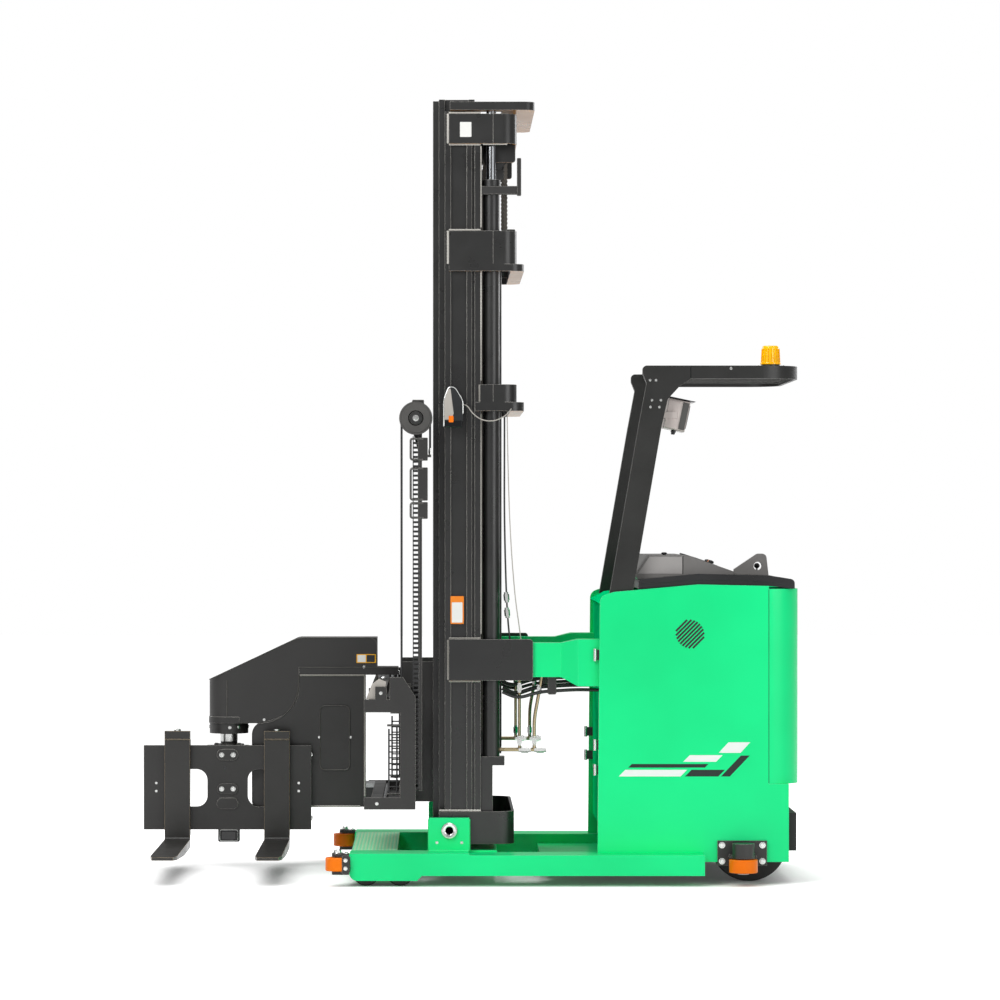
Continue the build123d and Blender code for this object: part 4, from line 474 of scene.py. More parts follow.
# %% Mesh builders
def make_piece(name, points, faces, finish, body, smooth=True):
    """A mesh from an array of points and a list of faces, on one moving body."""
    mesh = bpy.data.meshes.new(name)
    mesh.from_pydata(points.tolist(), [], faces)
    mesh.validate()
    if smooth:
        mesh.shade_smooth()
        mesh.set_sharp_from_angle(angle=math.radians(35))
    mesh.materials.append(finish)
    piece = bpy.data.objects.new(name, mesh)
    bpy.context.scene.collection.objects.link(piece)
    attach(piece, body)
    return piece


def grid_faces(rows, columns, wrap_columns=True):
    """Quads between neighbouring rows and columns of a grid of points."""
    last_column = columns if wrap_columns else columns - 1
    i, j = np.meshgrid(np.arange(rows - 1), np.arange(last_column), indexing="ij")
    i2, j2 = i + 1, (j + 1) % columns
    quads = np.stack(
        [i * columns + j, i * columns + j2, i2 * columns + j2, i2 * columns + j], axis=-1
    )
    return quads.reshape(-1, 4).tolist()


def end_caps(rows, columns):
    """The two flat ends that close a grid of rings: the first ring and the last."""
    last = (rows - 1) * columns
    return [list(range(columns))[::-1], [last + k for k in range(columns)]]


def rounded_path(corners, radius, steps=6):
    """Straight runs joined by arcs: near each corner the path follows a quadratic bend."""
    corners = np.asarray(corners, float)
    out = [corners[0]]
    for before, corner, after in zip(corners[:-2], corners[1:-1], corners[2:]):
        into, away = before - corner, after - corner
        reach = min(radius, np.linalg.norm(into) / 2, np.linalg.norm(away) / 2)
        a = corner + into / np.linalg.norm(into) * reach
        b = corner + away / np.linalg.norm(away) * reach
        t = np.linspace(0, 1, steps + 1)[:, None]
        out.extend((1 - t) ** 2 * a + 2 * t * (1 - t) * corner + t**2 * b)
    out.append(corners[-1])
    return np.array(out)


def tube(name, path, radius, finish, body, sides=12):
    """A round bar along a path: each ring of points stands square to the path's direction.

    radius is one number, or one for each point of the path.
    """
    path = np.asarray(path, float)
    along = np.gradient(path, axis=0)
    along /= np.linalg.norm(along, axis=1, keepdims=True)
    spread = np.ptp(along, axis=0)
    right = np.eye(3)[np.argmin(np.abs(along[0]) + 0.01 * spread)]
    rights = np.zeros_like(path)
    for index, direction in enumerate(along):
        right = right - direction * (right @ direction)
        right = right / np.linalg.norm(right)
        rights[index] = right
    ups = np.cross(along, rights)
    turn = np.linspace(0, 2 * math.pi, sides, endpoint=False)
    radii = np.broadcast_to(np.asarray(radius, float), (len(path),))[:, None, None]
    rings = path[:, None, :] + radii * (
        rights[:, None, :] * np.cos(turn)[None, :, None]
        + ups[:, None, :] * np.sin(turn)[None, :, None]
    )
    points = rings.reshape(-1, 3)
    faces = grid_faces(len(path), sides) + end_caps(len(path), sides)
    return make_piece(name, points, faces, finish, body)


def slab(name, outline, height, origin, across, up, finish, body, rim=0.0):
    """A flat outline with a thickness and a narrow chamfered rim.

    outline holds pairs measured along across and up, and height goes along their
    cross product. The rings are the base, the chamfer's foot and its top.
    """
    outline = np.asarray(outline, float)
    u, v = outline.T
    if np.sum(u * np.roll(v, -1) - np.roll(u, -1) * v) < 0:
        outline = outline[::-1]
    across, up, origin = (np.asarray(v, float) for v in (across, up, origin))
    normal = np.cross(across, up)
    edge = np.roll(outline, -1, axis=0) - np.roll(outline, 1, axis=0)
    inward = np.stack([-edge[:, 1], edge[:, 0]], axis=1)
    inward /= np.maximum(np.linalg.norm(inward, axis=1, keepdims=True), 1e-9)
    rings = [(outline, 0.0), (outline, height - rim), (outline + inward * rim, height)]
    points = np.concatenate(
        [
            origin + flat[:, :1] * across + flat[:, 1:] * up + normal * level
            for flat, level in rings
        ]
    )
    faces = grid_faces(len(rings), len(outline)) + end_caps(len(rings), len(outline))
    return make_piece(name, points, faces, finish, body, smooth=False)


def rounded_rectangle(x0, x1, z0, z1, radius, steps=5):
    """The outline of a rectangle whose corners are quarter circles."""
    x0, x1, z0, z1 = x0 + radius, x1 - radius, z0 + radius, z1 - radius
    arcs = []
    for quarter, (x, z) in enumerate(((x1, z1), (x0, z1), (x0, z0), (x1, z0))):
        turn = (quarter + np.linspace(0, 1, steps)) * math.pi / 2
        x, z = x + radius * np.cos(turn), z + radius * np.sin(turn)
        arcs.append(np.stack([x, z], axis=1))
    return np.concatenate(arcs)


def circle(x, z, radius, count=24):
    """The outline of a circle."""
    turn = np.linspace(0, 2 * math.pi, count, endpoint=False)
    return np.stack([x + radius * np.cos(turn), z + radius * np.sin(turn)], axis=1)


# %% [markdown]
# ## Places on the machine
#
# The pieces below are placed from the mast's foot pins, as a fitter would
# measure them, and stand on the faces of the solids. The helpers take
# millimetres: x from the pin's axis, y from the middle and z from the floor.

# %% Helpers in millimetres
SIDES = ((-1, "near"), (1, "far"))
UP, DOWN, TO_CAMERA = (0, 0, 1), (0, 0, -1), (0, -1, 0)
NEAR_ACROSS, FAR_ACROSS = (1, 0, 0), (-1, 0, 0)


def at(x_mm, y_mm, z_mm):
    """A point in metres: x from the foot pin's axis, y and z from the floor's middle."""
    return np.array([foot_x + x_mm * MM, y_mm * MM, z_mm * MM])


def near_plate(name, outline_mm, y_mm, height_mm, finish, body="chassis", rim_mm=0.5):
    """A thin plate on a face that looks at the camera; outline pairs are x and z."""
    return slab(name, np.asarray(outline_mm, float) * MM, height_mm * MM,
        (foot_x, y_mm * MM, 0.0), NEAR_ACROSS, UP, finish, body, rim_mm * MM)


def side_plate(name, outline_mm, y_mm, height_mm, finish, body="chassis", rim_mm=0.5):
    """A near plate where y is on the camera's side, and its mirror image on the other."""
    if y_mm < 0:
        return near_plate(name, outline_mm, y_mm, height_mm, finish, body, rim_mm)
    mirrored = np.asarray(outline_mm, float) * MM * (-1, 1)
    return slab(name, mirrored, height_mm * MM, (foot_x, y_mm * MM, 0.0), FAR_ACROSS, UP,
        finish, body, rim_mm * MM)


def rod(name, points_mm, radius_mm, finish, body="chassis", bend_mm=0, sides=12):
    """A round bar through the given points, with bends where bend_mm isn't zero."""
    path = [at(*point) for point in points_mm]
    if bend_mm:
        path = rounded_path(path, bend_mm * MM)
    return tube(name, path, radius_mm * MM, finish, body, sides=sides)


def axis_frame(axis):
    """The axis as an array, and two directions square to it and to each other."""
    axis = np.asarray(axis, float)
    right = np.cross(axis, np.eye(3)[np.argmin(np.abs(axis))])
    right /= np.linalg.norm(right)
    return axis, right, np.cross(axis, right)


def turned(name, profile_mm, centre_mm, axis, finish, body="chassis", sides=32,
        smooth=True):
    """Carries pairs of radius and height round an axis through the centre."""
    axis, right, up = axis_frame(axis)
    turn = np.linspace(0, 2 * math.pi, sides, endpoint=False)
    profile = np.asarray(profile_mm, float) * MM
    ring = np.cos(turn)[:, None] * right + np.sin(turn)[:, None] * up
    radii = np.maximum(profile[:, 0], 1e-5)
    points = (
        at(*centre_mm) + radii[:, None, None] * ring + profile[:, 1][:, None, None] * axis
    )
    faces = grid_faces(len(profile), sides) + end_caps(len(profile), sides)
    return make_piece(name, points.reshape(-1, 3), faces, finish, body, smooth=smooth)


# %% [markdown]
# ## Bolts
#
# A hexagon head is a turned shape: a washer ring, the head's flats, a small
# chamfer and a shallow top. A ring has twelve points, which are the hexagon's
# six corners and the middles of its flats. All the bolts of one group become
# one mesh, made by adding each centre to the same array of points.

# %% Hexagon bolts in groups
BOLT_PROFILE_SHARES = [(0.0, 0.0), (1.32, 0.0), (1.32, 0.16), (1.0, 0.18), (1.0, 0.62)]
BOLT_PROFILE_SHARES += [(0.86, 0.74), (0.0, 0.74)]
WASHER_LEVELS = (1, 2)


def bolts(name, centres_mm, axis, size_mm, body="chassis"):
    """Bolt heads at the given centres; size is half the head's width across corners."""
    axis, right, up = axis_frame(axis)
    sides = 12
    turn = np.linspace(0, 2 * math.pi, sides, endpoint=False)
    round_ring = np.cos(turn)[:, None] * right + np.sin(turn)[:, None] * up
    hexagon = np.where(np.arange(sides) % 2, 0.9, 1.0)
    rounds = []
    for level, (radius, height) in enumerate(BOLT_PROFILE_SHARES):
        flat = np.ones(sides) if level in WASHER_LEVELS else hexagon
        ring = round_ring * (flat[:, None] * max(radius, 0.001))
        rounds.append(ring + axis * height)
    shape = np.concatenate(rounds) * size_mm * MM
    one = grid_faces(len(BOLT_PROFILE_SHARES), sides)
    points, faces = [], []
    for index, centre in enumerate(centres_mm):
        points.append(shape + at(*centre))
        start = index * len(shape)
        faces += [[corner + start for corner in face] for face in one]
    return make_piece(name, np.concatenate(points), faces, zinc_plated_steel, body,
        smooth=False)


# %% [markdown]
# ## Weld beads
#
# Where two plates meet, a weld leaves a bead: a half-round rope with a ripple
# for each small step of the torch. It is a tube along the joint whose radius
# swells and shrinks with the sine of the length run so far.


# %% Weld bead
def weld(name, start_mm, end_mm, radius_mm, finish, body="chassis", ripple_mm=7):
    """A bead from start to end: its radius follows the absolute sine of the way run."""
    start, end = at(*start_mm), at(*end_mm)
    ripple = ripple_mm * MM
    length = np.linalg.norm(end - start)
    steps = int(length / ripple) * 3 + 2
    t = np.linspace(0, 1, steps)
    path = start + t[:, None] * (end - start)
    wave = np.abs(np.sin(t * length / ripple * math.pi / 2))
    swell = radius_mm * MM * (0.82 + 0.25 * wave)
    return tube(name, path, swell, finish, body, sides=6)


# %% [markdown]
# ## Welds of the mast
#
# The bands that tie the two uprights are welded on along their front edges and
# along their lower edges, and the foot is welded all round. The beads take a
# near-white colour: a painted highlight for the light caught on their ripples.

# %% Mast welds
BAND_FACE_MM = 557.0
# Painted highlight: near-white beads stand for the light caught on their ripples.
weld_highlight_paint = painted_steel("weld_highlight_paint", "#E4E1DA", "#8A8780", 0.24, 1.5, 0.5)
runs = []
for side in (-1, 1):
    face, edge, rear = side * 546.0, side * 549, side * 544
    for low, high in ((3341, 3476), (2797, 2947)):
        runs += [
            ((-5, edge, low), (-5, edge, high), 6.5),
            ((-2, face, low - 4), (142, face, low - 4), 4.5),
            ((-2, face, high + 4), (142, face, high + 4), 4.5),
            ((152, side * 551, low - 3), (262, side * 551, low - 3), 3.5),
        ]
    runs += [
        ((137, edge, 2174), (137, edge, 2252), 5.0),
        ((-5, edge, 917), (-5, edge, 1099), 5.5),
        ((-2, face, 1105), (142, face, 1105), 5.0),
        ((-2, face, 911), (142, face, 911), 4.5),
        ((-46, face, 327), (142, face, 327), 5.5),
        ((143.5, rear, 2962), (143.5, rear, 3330), 3.6),
        ((143.5, rear, 2270), (143.5, rear, 2785), 3.6),
        ((143.5, rear, 1125), (143.5, rear, 2120), 3.0),
    ]
for index, (start, end, thick) in enumerate(runs):
    weld(f"mast_weld_{index:02d}", start, end, thick, weld_highlight_paint)
print("mast welds:", len(runs))

# %% [markdown]
# ## Seams and signs on the mast
#
# Each band is bent from two plates that meet in an upright seam, ground flush
# but still visible as a fine line. Signs are printed film, half a millimetre
# thick, left blank here: coloured plates with a thin border.

# %% Band seams and blank signs
for index, (low, high) in enumerate(((3343, 3474), (2799, 2945), (2175, 2251))):
    for side, word in SIDES:
        y = side * BAND_FACE_MM
        weld(f"band_seam_{index}_{word}", (198, y, low), (198, y, high), 1.6,
            mast_powder_coat, ripple_mm=30)
near_plate("mast_sign_white", rounded_rectangle(48, 100, 3370, 3438, 3), -BAND_FACE_MM, 0.8,
    label_white)
near_plate("mast_sign_ground", rounded_rectangle(5, 66, 1170, 1296, 3), -545.2, 0.6,
    label_orange)
near_plate("mast_sign_field", rounded_rectangle(11, 60, 1176, 1268, 2), -545.8, 0.5,
    label_white)
print("signs on the mast: blank")

# %% [markdown]
# ## Chain wheels and lift chains at the mast's head
#
# The outer lift chains run over wheels at the mast's head. A leaf chain shows
# to the side as a stack of link plates: each plate is an oblong with two round
# ends. The strip here is one surface, whose edge goes in and out with each
# link, so that it reads as a chain at a tenth of the cost.


# %% Leaf chain
def leaf_chain(name, x_mm, y_mm, z0_mm, z1_mm, body="chassis", pitch_mm=19.0):
    """A chain along z: its half width follows the absolute cosine of the way along."""
    steps = int((z1_mm - z0_mm) / pitch_mm) * 6 + 1
    z = np.linspace(z0_mm, z1_mm, steps)
    half = 5.0 + 4.0 * np.abs(np.cos((z - z0_mm) / pitch_mm * math.pi))
    ring = np.array([[-1, -1], [1, -1], [1, 1], [-1, 1]], float)
    half_depth = 9.0
    points = np.zeros((steps, 4, 3))
    points[..., 0] = foot_x + (x_mm + ring[None, :, 0] * half[:, None]) * MM
    points[..., 1] = (y_mm + ring[None, :, 1] * half_depth) * MM
    points[..., 2] = z[:, None] * MM
    faces = grid_faces(steps, 4) + end_caps(steps, 4)
    return make_piece(name, points.reshape(-1, 3), faces, chain_steel, body, smooth=False)


WHEEL_MM = [(0, 0), (50, 0), (54, 2), (54, 4), (44, 6), (44, 18), (54, 20), (54, 22),
    (50, 24), (0, 24)]
for side, word in SIDES:
    leaf_chain(f"short_chain_{word}", 256, side * 446, 2950, 3284)
    leaf_chain(f"long_chain_{word}", 160, side * 446, 620, 3284)
for side, word in SIDES:
    turned(f"chain_wheel_{word}", WHEEL_MM, (208, side * 458, 3284), (0, -side, 0),
        cast_iron_black)
    near_plate(f"chain_wheel_strap_{word}", rounded_rectangle(190, 300, 3262, 3390, 12),
        side * 466 + 4, 8, mast_powder_coat, rim_mm=1)
    for z0, z1, x0, x1 in ((2890, 2960, 240, 300), (566, 640, 142, 178)):
        near_plate(f"chain_anchor_{word}_{z0}", rounded_rectangle(x0, x1, z0, z1, 6),
            side * 446 + 10, 20, mast_powder_coat, rim_mm=1)
print("lift chains: 4, chain wheels: 2, each with its strap and two anchors")

# %% [markdown]
# ## The base
#
# Each foot of the mast is held by a pin in a welded bracket. Beads run round
# the bracket where it stands on the arm, a keeper bolt stops the pin, and the
# guide rollers at the arm tips are clamped between jaws by one large bolt. The
# rear guide rollers hang from plates with four bolts.

# %% Base welds, bolts and caps
for side, word in SIDES:
    out = (0, side, 0)
    face = side * 600.5
    weld(f"bracket_weld_low_{word}", (-90, face, 149), (88, face, 149), 5, green_enamel)
    for x in (-93, 91):
        weld(f"bracket_weld_{word}_{x}", (x, side * 581, 150), (x, side * 581, 290), 4,
            green_enamel)
    bolts(f"pin_keeper_bolts_{word}", [(-56, face, 186), (56, face, 186)], out, 5)
    turned(f"pin_face_ring_{word}", [(18, 0), (30, 0), (32, 2), (30, 4), (21, 4), (18, 2),
        (18, 0)], (0, side * 612, 240), out, zinc_plated_steel)
    turned(f"guide_bolt_top_{word}", [(0, 0), (24, 0), (25, 2), (24, 4), (17, 4), (17, 14),
        (14, 17), (0, 17)], (-500, side * 725, 147), UP, zinc_plated_steel, sides=12)
    jaw_bolts = [(-462, side * 704, 147), (-462, side * 738, 147)]
    bolts(f"guide_jaw_bolts_{word}", jaw_bolts, UP, 8)
    side_plate(f"guide_jaw_cheek_{word}", rounded_rectangle(-480, -446, 58, 142, 6),
        side * 776.5, 2.5, black_powder_coat, rim_mm=0.8)
    cheek_bolts = [(-464, side * 779, 84), (-464, side * 779, 120)]
    bolts(f"guide_jaw_side_bolts_{word}", cheek_bolts, out, 7)
    hanger_bolts = [(x, side * 644, z) for x in (1226, 1408) for z in (106, 178)]
    bolts(f"guide_hanger_bolts_{word}", hanger_bolts, out, 11)
    turned(f"guide_roller_cap_{word}", [(0, 0), (26, 0), (27, 2), (24, 5), (0, 6)],
        (1317, side * 716, 58), DOWN, zinc_plated_steel)
print("base: welds, keeper bolts, guide roller bolts and plugs")

# %% [markdown]
# ## Hydraulic pipes
#
# Oil reaches the lift cylinders through steel pipes: a feed pipe low behind the
# mast with two bright unions, risers up to the tie arm, black hoses along the
# arm into the body, and three thin lines clamped to the bands all the way up.
# A pipe is a path with rounded bends and a constant radius.


# %% Pipes, unions and clamps
def union(name, centre_mm, axis, size_mm, body="chassis"):
    """A pipe union: a hexagon nut between two collars."""
    profile = [(0, -20), (8, -20), (8, -12), (11, -12), (11, 12), (8, 12), (8, 20), (0, 20)]
    scaled = [(radius * size_mm / 11, height * size_mm / 11) for radius, height in profile]
    turned(name, scaled, centre_mm, axis, zinc_plated_steel, body, sides=6, smooth=False)


def pipe(name, corners_mm, radius_mm, finish, sides=10):
    """A pipe through the given corners, with the bends of a pipe bender."""
    rod(name, corners_mm, radius_mm, finish, bend_mm=40, sides=sides)


pipe_paint = painted_steel("pipe_paint", "#2A2A2A", "#202020", 0.3, 1.5, 0.1)
for side, word in SIDES:
    deep = side * 492
    pipe(f"feed_pipe_{word}", [(228, deep, 600), (424, deep, 600)], 9, yellow_zinc_steel)
    pipe(f"riser_front_{word}", [(318, deep, 600), (318, deep, 935)], 7, yellow_zinc_steel)
    pipe(f"riser_rear_{word}", [(385, deep, 600), (385, deep, 742), (402, deep, 832),
        (420, deep, 940)], 8, yellow_zinc_steel)
    for index, x in enumerate((342, 412)):
        union(f"feed_union_{word}_{index}", (x, deep, 600), (1, 0, 0), 15)
    for index, (x, z) in enumerate(((318, 640), (385, 640), (318, 880), (408, 872))):
        union(f"riser_union_{word}_{index}", (x, deep, z), UP, 12)
    upper = [(240, 878), (300, 850), (400, 884), (560, 893), (700, 893)]
    lower = [(240, 862), (310, 832), (410, 862), (570, 872), (700, 870)]
    pipe(f"body_pipe_upper_{word}", [(x, deep - 14 * side, z) for x, z in upper], 10,
        hose_rubber)
    pipe(f"body_pipe_lower_{word}", [(x, deep + 14 * side, z) for x, z in lower], 8,
        hose_rubber)
    near_plate(f"pipe_clamp_{word}", rounded_rectangle(445, 485, 850, 932, 8),
        side * 492 + 30, 60, black_powder_coat, rim_mm=2)
    line_y = side * 395
    for x in (206, 220, 234):
        pipe(f"mast_line_{word}_{x}", [(x, line_y, 610), (x, line_y, 2790 + (x - 206))],
            4.5, pipe_paint, sides=8)
    for z in (1010, 2215, 2870):
        near_plate(f"mast_line_clamp_{word}_{z}",
            rounded_rectangle(198, 296, z - 11, z + 11, 4), line_y + 8, 16,
            black_powder_coat, rim_mm=1)
print("hydraulic pipes done")

# %% [markdown]
# ## The carriage and its energy chain
#
# The end plates of the traverse frame are cut from thick plate and bolted to
# the rails. Brackets hold the energy chain to its post, a small guard stands
# behind the pulley, and the pulley's face has a turned hub with a bright bolt.

# %% Carriage bolts, brackets and pulley hub
CARRIAGE = "carriage"
for side, word in SIDES:
    face, y = side * 650.3, side * 628
    bolts(f"end_plate_bolts_{word}", [(-308, face, 862), (-326, face, 365)], (0, side, 0),
        6, CARRIAGE)
    # The end plate's weld carries the same near-white painted highlight.
    weld(f"end_plate_weld_{word}", (-330, side * 626, 892), (-286, side * 626, 892), 5,
        weld_highlight_paint, CARRIAGE)
    loop = [(-236, y, 720), (-236, y, 405), (-272, y, 405), (-272, y, 700)]
    rod(f"window_cable_{word}", loop, 4, hose_rubber, CARRIAGE, bend_mm=18, sides=8)
    for index, z in enumerate(range(440, 700, 26)):
        rod(f"window_rung_{word}_{index}", [(-276, y, z), (-226, y, z)], 3.4, chain_plastic,
            CARRIAGE, sides=6)
    for name, z in (("stay", 716), ("foot", 408)):
        rod(f"window_{name}_{word}", [(-280, y, z), (-200, y, z)], 5, black_powder_coat,
            CARRIAGE, sides=8)
for index, (low, high) in enumerate(((1650, 1716), (1732, 1872), (1912, 2006))):
    path = [(-118, -616, low), (-174, -616, low), (-174, -616, high), (-118, -616, high)]
    rod(f"chain_bracket_{index}", path, 5, black_powder_coat, CARRIAGE, bend_mm=10, sides=8)
    near_plate(f"chain_bracket_plate_{index}",
        rounded_rectangle(-142, -97, low - 5, high + 5, 4), -613.2, 5, black_powder_coat,
        CARRIAGE)
near_plate("pulley_guard", rounded_rectangle(-168, -114, 2130, 2183, 5), -556, 12,
    black_powder_coat, CARRIAGE, 2.0)
rod("pulley_guard_stay", [(-146, -562, 2172), (-146, -560, 2130), (-130, -560, 1990)], 6,
    black_powder_coat, CARRIAGE, bend_mm=20, sides=8)
turned("pulley_face_ring", [(34, 0), (64, 0), (66, 1.5), (64, 3), (36, 3), (34, 1.5),
    (34, 0)], (-151, -613.5, 2099), TO_CAMERA, pulley_plastic, "pulley")
turned("pulley_hub_ring", [(0, 0), (26, 0), (28, 2), (25, 5), (0, 5)], (-151, -616, 2099),
    TO_CAMERA, cast_iron_black, "pulley")
bolts("pulley_bolt", [(-151, -621, 2099)], TO_CAMERA, 11, "pulley")
print("carriage: bolts, chain brackets, pulley hub")

# %% [markdown]
# ## The hose over the pulley
#
# The hose leaves the traverse frame, goes up, over the pulley and down to the
# post. It is a free cord: a curve whose control points are the route's own, at
# the corners of a polygon round the pulley, so that the smooth curve between
# them is the groove's circle.

# %% Hose as a cord
PULLEY_X, HOSE_Y, PULLEY_Z = -151, -590, 2099
HOSE_LAP_MM = 64.3
HOSE_MM = 10
STRAIGHT_ENDS_Z = 2079
STEP_DEG = 22.5
reach = HOSE_LAP_MM / math.cos(math.radians(STEP_DEG / 2))
front, rear = PULLEY_X - HOSE_LAP_MM, PULLEY_X + HOSE_LAP_MM
route = [(front, HOSE_Y, 891), (front, HOSE_Y, STRAIGHT_ENDS_Z)]
for step in range(8):
    turn = math.radians(180 - STEP_DEG / 2 - STEP_DEG * step)
    x, z = PULLEY_X + reach * math.cos(turn), PULLEY_Z + reach * math.sin(turn)
    route.append((x, HOSE_Y, z))
route += [(rear, HOSE_Y, STRAIGHT_ENDS_Z), (rear, HOSE_Y, 1935)]


def cord_curve(name, route, diameter, finish):
    """A NURBS curve through a route, and the length of its smooth line."""
    curve = bpy.data.curves.new(name, "CURVE")
    curve.dimensions = "3D"
    spline = curve.splines.new("NURBS")
    spline.points.add(len(route) - 1)
    for point, place in zip(spline.points, route):
        point.co = (*place, 1.0)
    spline.order_u = 3
    spline.use_endpoint_u = True
    spline.resolution_u = 8
    made = bpy.data.objects.new(name, curve)
    bpy.context.scene.collection.objects.link(made)
    curve.materials.append(finish)
    bpy.context.view_layer.update()
    run = bpy.data.meshes.new_from_object(made)
    flat = np.zeros(len(run.vertices) * 3)
    run.vertices.foreach_get("co", flat)
    steps = np.diff(flat.reshape(-1, 3), axis=0)
    bpy.data.meshes.remove(run)
    curve.bevel_depth = diameter / 2
    curve.bevel_resolution = 3
    return made, float(np.sum(np.linalg.norm(steps, axis=1)))


def free_cord(name, corners_mm, diameter_mm, finish, body, stands_for=None):
    """A cable that leaves the object and goes back into it, as a smooth curve."""
    route = [at(*corner) for corner in corners_mm]
    made, length = cord_curve(name, route, diameter_mm * MM, finish)
    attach(made, body)
    if stands_for:
        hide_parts(stands_for)
    print(name, "length", round(length, 3), "m")


free_cord("pulley_hose", route, HOSE_MM, hose_rubber, CARRIAGE, "carriage_hose")
for index, (x, z) in enumerate(((front, 905), (rear, 1948))):
    union(f"hose_union_{index}", (x, HOSE_Y, z), UP, 9, CARRIAGE)

# %% [markdown]
# ## Slack cables behind the near upright
#
# Two thin cables run from the underside of the low band's shelf to the tie arm.
# They are a little longer than the straight way, so they bow.

# %% Slack cables
black_way = [(250, -505, 2132), (250, -505, 1950), (249, -505, 1650), (258, -505, 1300),
    (268, -502, 1150), (276, -500, 1086)]
grey_way = [(262, -515, 2132), (264, -515, 1950), (274, -515, 1600), (296, -512, 1300),
    (318, -508, 1150), (326, -506, 1086)]
free_cord("mast_cable_black", black_way, 8, hose_rubber, "chassis")
free_cord("mast_cable_grey", grey_way, 5, lamp_shell, "chassis")
for index, (x, y, z) in enumerate(((259, -505, 1290), (262, -504, 1220))):
    union(f"cable_union_{index}", (x, y, z), (0.1, 0, -0.99), 13)
print("slack cables: 2")

# %% [markdown]
# ## The turret head
#
# The head's column is folded and welded from plate. Its cover has a pressed
# crease at the nose, a collar with bolts and a blank sign. Thin pale lines along
# the edges, the crease and the hatch rim are painted highlights. The fork plate
# has two oblong lugs, each with two bolts, small plugs and a dark disc that is
# painted shade inside a hole.

# %% Head: welds, sign, bolts and edges
HEAD_FACE_MM = 385.7
EDGE_FACE_MM = 385.9
COVER_FACE_MM = 388.7
# Painted highlight: pale lines that stand for the light caught along the head's edges.
edge_highlight_paint = painted_steel("edge_highlight_paint", "#77756F", "#4C4A47", 0.24, 1.5, 0.3)


def on_face(y_mm, pairs):
    """Points on a face that looks at the camera, from pairs of x and z."""
    return [(x, y_mm, z) for x, z in pairs]


# The head's welds carry the same near-white painted highlight.
for name, ends in (("top", ((-706, 904), (-398, 904))), ("low", ((-700, 283), (-420, 283))),
        ("rear", ((-398, 330), (-398, 900)))):
    weld(f"head_weld_{name}", *on_face(HEAD_FACE_MM, ends), 5, weld_highlight_paint, "head")
near_plate("head_sign_ground", rounded_rectangle(-438, -346, 962, 1004, 3), COVER_FACE_MM,
    0.6, label_yellow, "head")
for name, x0, x1, finish in (("field", -433, -394, label_white),
        ("black", -390, -351, screen_glass)):
    near_plate(f"head_sign_{name}", rounded_rectangle(x0, x1, 966, 1000, 2),
        COVER_FACE_MM - 0.6, 0.5, finish, "head")
bolts("cover_screws", on_face(COVER_FACE_MM, ((-402, 944), (-876, 694))), TO_CAMERA, 5,
    "head")
bolts("hatch_bolts", on_face(HEAD_FACE_MM, ((-614, 611), (-467, 611))), TO_CAMERA, 5,
    "head")


def outline_rod(name, outline_mm, y_mm, radius_mm, finish, body):
    """A thin bar along a closed outline on a face."""
    ring = np.concatenate([outline_mm, outline_mm[:1]])
    rod(name, on_face(y_mm, ring), radius_mm, finish, body, sides=6)


# Painted highlights: pale lines along the hatch rim, the cover's crease and the edges.
outline_rod("hatch_rim", rounded_rectangle(-610, -471, 456, 760, 22), 381.5, 2.2,
    edge_highlight_paint, "head")
rod("cover_crease", on_face(COVER_FACE_MM, ((-1052, 708), (-1052, 880))), 1.8, edge_highlight_paint,
    "head", sides=8)
arch = [(-932, 300), (-932, 640), (-913, 672), (-842, 682), (-782, 712), (-738, 762),
    (-716, 820), (-711, 906)]
cover_line = [(-1138, 884), (-716, 1082), (-342, 1082), (-342, 946)]
EDGES = (
    ("column_edge", EDGE_FACE_MM, arch, 2.2, 30),
    ("column_top_edge", EDGE_FACE_MM, [(-711, 942), (-242, 942)], 2.4, 0),
    ("column_low_edge", EDGE_FACE_MM, [(-932, 282), (-398, 282)], 2.2, 0),
    ("cover_top_edge", COVER_FACE_MM, cover_line, 1.8, 40),
)
for name, face, line, radius, bend in EDGES:
    rod(name, on_face(face, line), radius, edge_highlight_paint, "head", bend_mm=bend, sides=6)
turned("swivel_sleeve", [(40, 0), (42, 1), (42, 36), (40, 37), (40, 0)], (-1047, 490, 586),
    UP, zinc_plated_steel, "turret")
for index, turn in enumerate(np.radians([-85, -58, 0, 95, 122, 180])):
    spoke = np.array([math.cos(turn), math.sin(turn), 0.0])
    bolts(f"collar_bolt_{index}", [(-1047, 490, 656) + spoke * 92], spoke, 6, "head")
turned("head_bar_bearing", [(0, 0), (16, 0), (17, 2), (17, 10), (12, 12), (0, 12)],
    (-307, 389, 881), TO_CAMERA, zinc_plated_steel, "head")
for index, x in enumerate((-284, -256)):
    hook = [(x, 905), (x, 926), (x + 18, 926), (x + 18, 908)]
    rod(f"head_hook_{index}", on_face(400, hook), 4, zinc_plated_steel, "head", bend_mm=8,
        sides=8)
rail_cap = [(-375, 834), (-348, 902), (-316, 926), (-284, 912), (-284, 892), (-312, 880),
    (-322, 834)]
for side, word in SIDES:
    side_plate(f"rail_cap_{word}", rail_cap, side * 628.5, 5, lamp_shell, "carriage", 1.0)
near_plate("head_shoe", [(-412, 372), (-352, 372), (-352, 300), (-366, 290), (-412, 290)],
    392, 6, cover_plastic, "head", 1.0)
print("head: welds, sign, hatch and collar bolts")

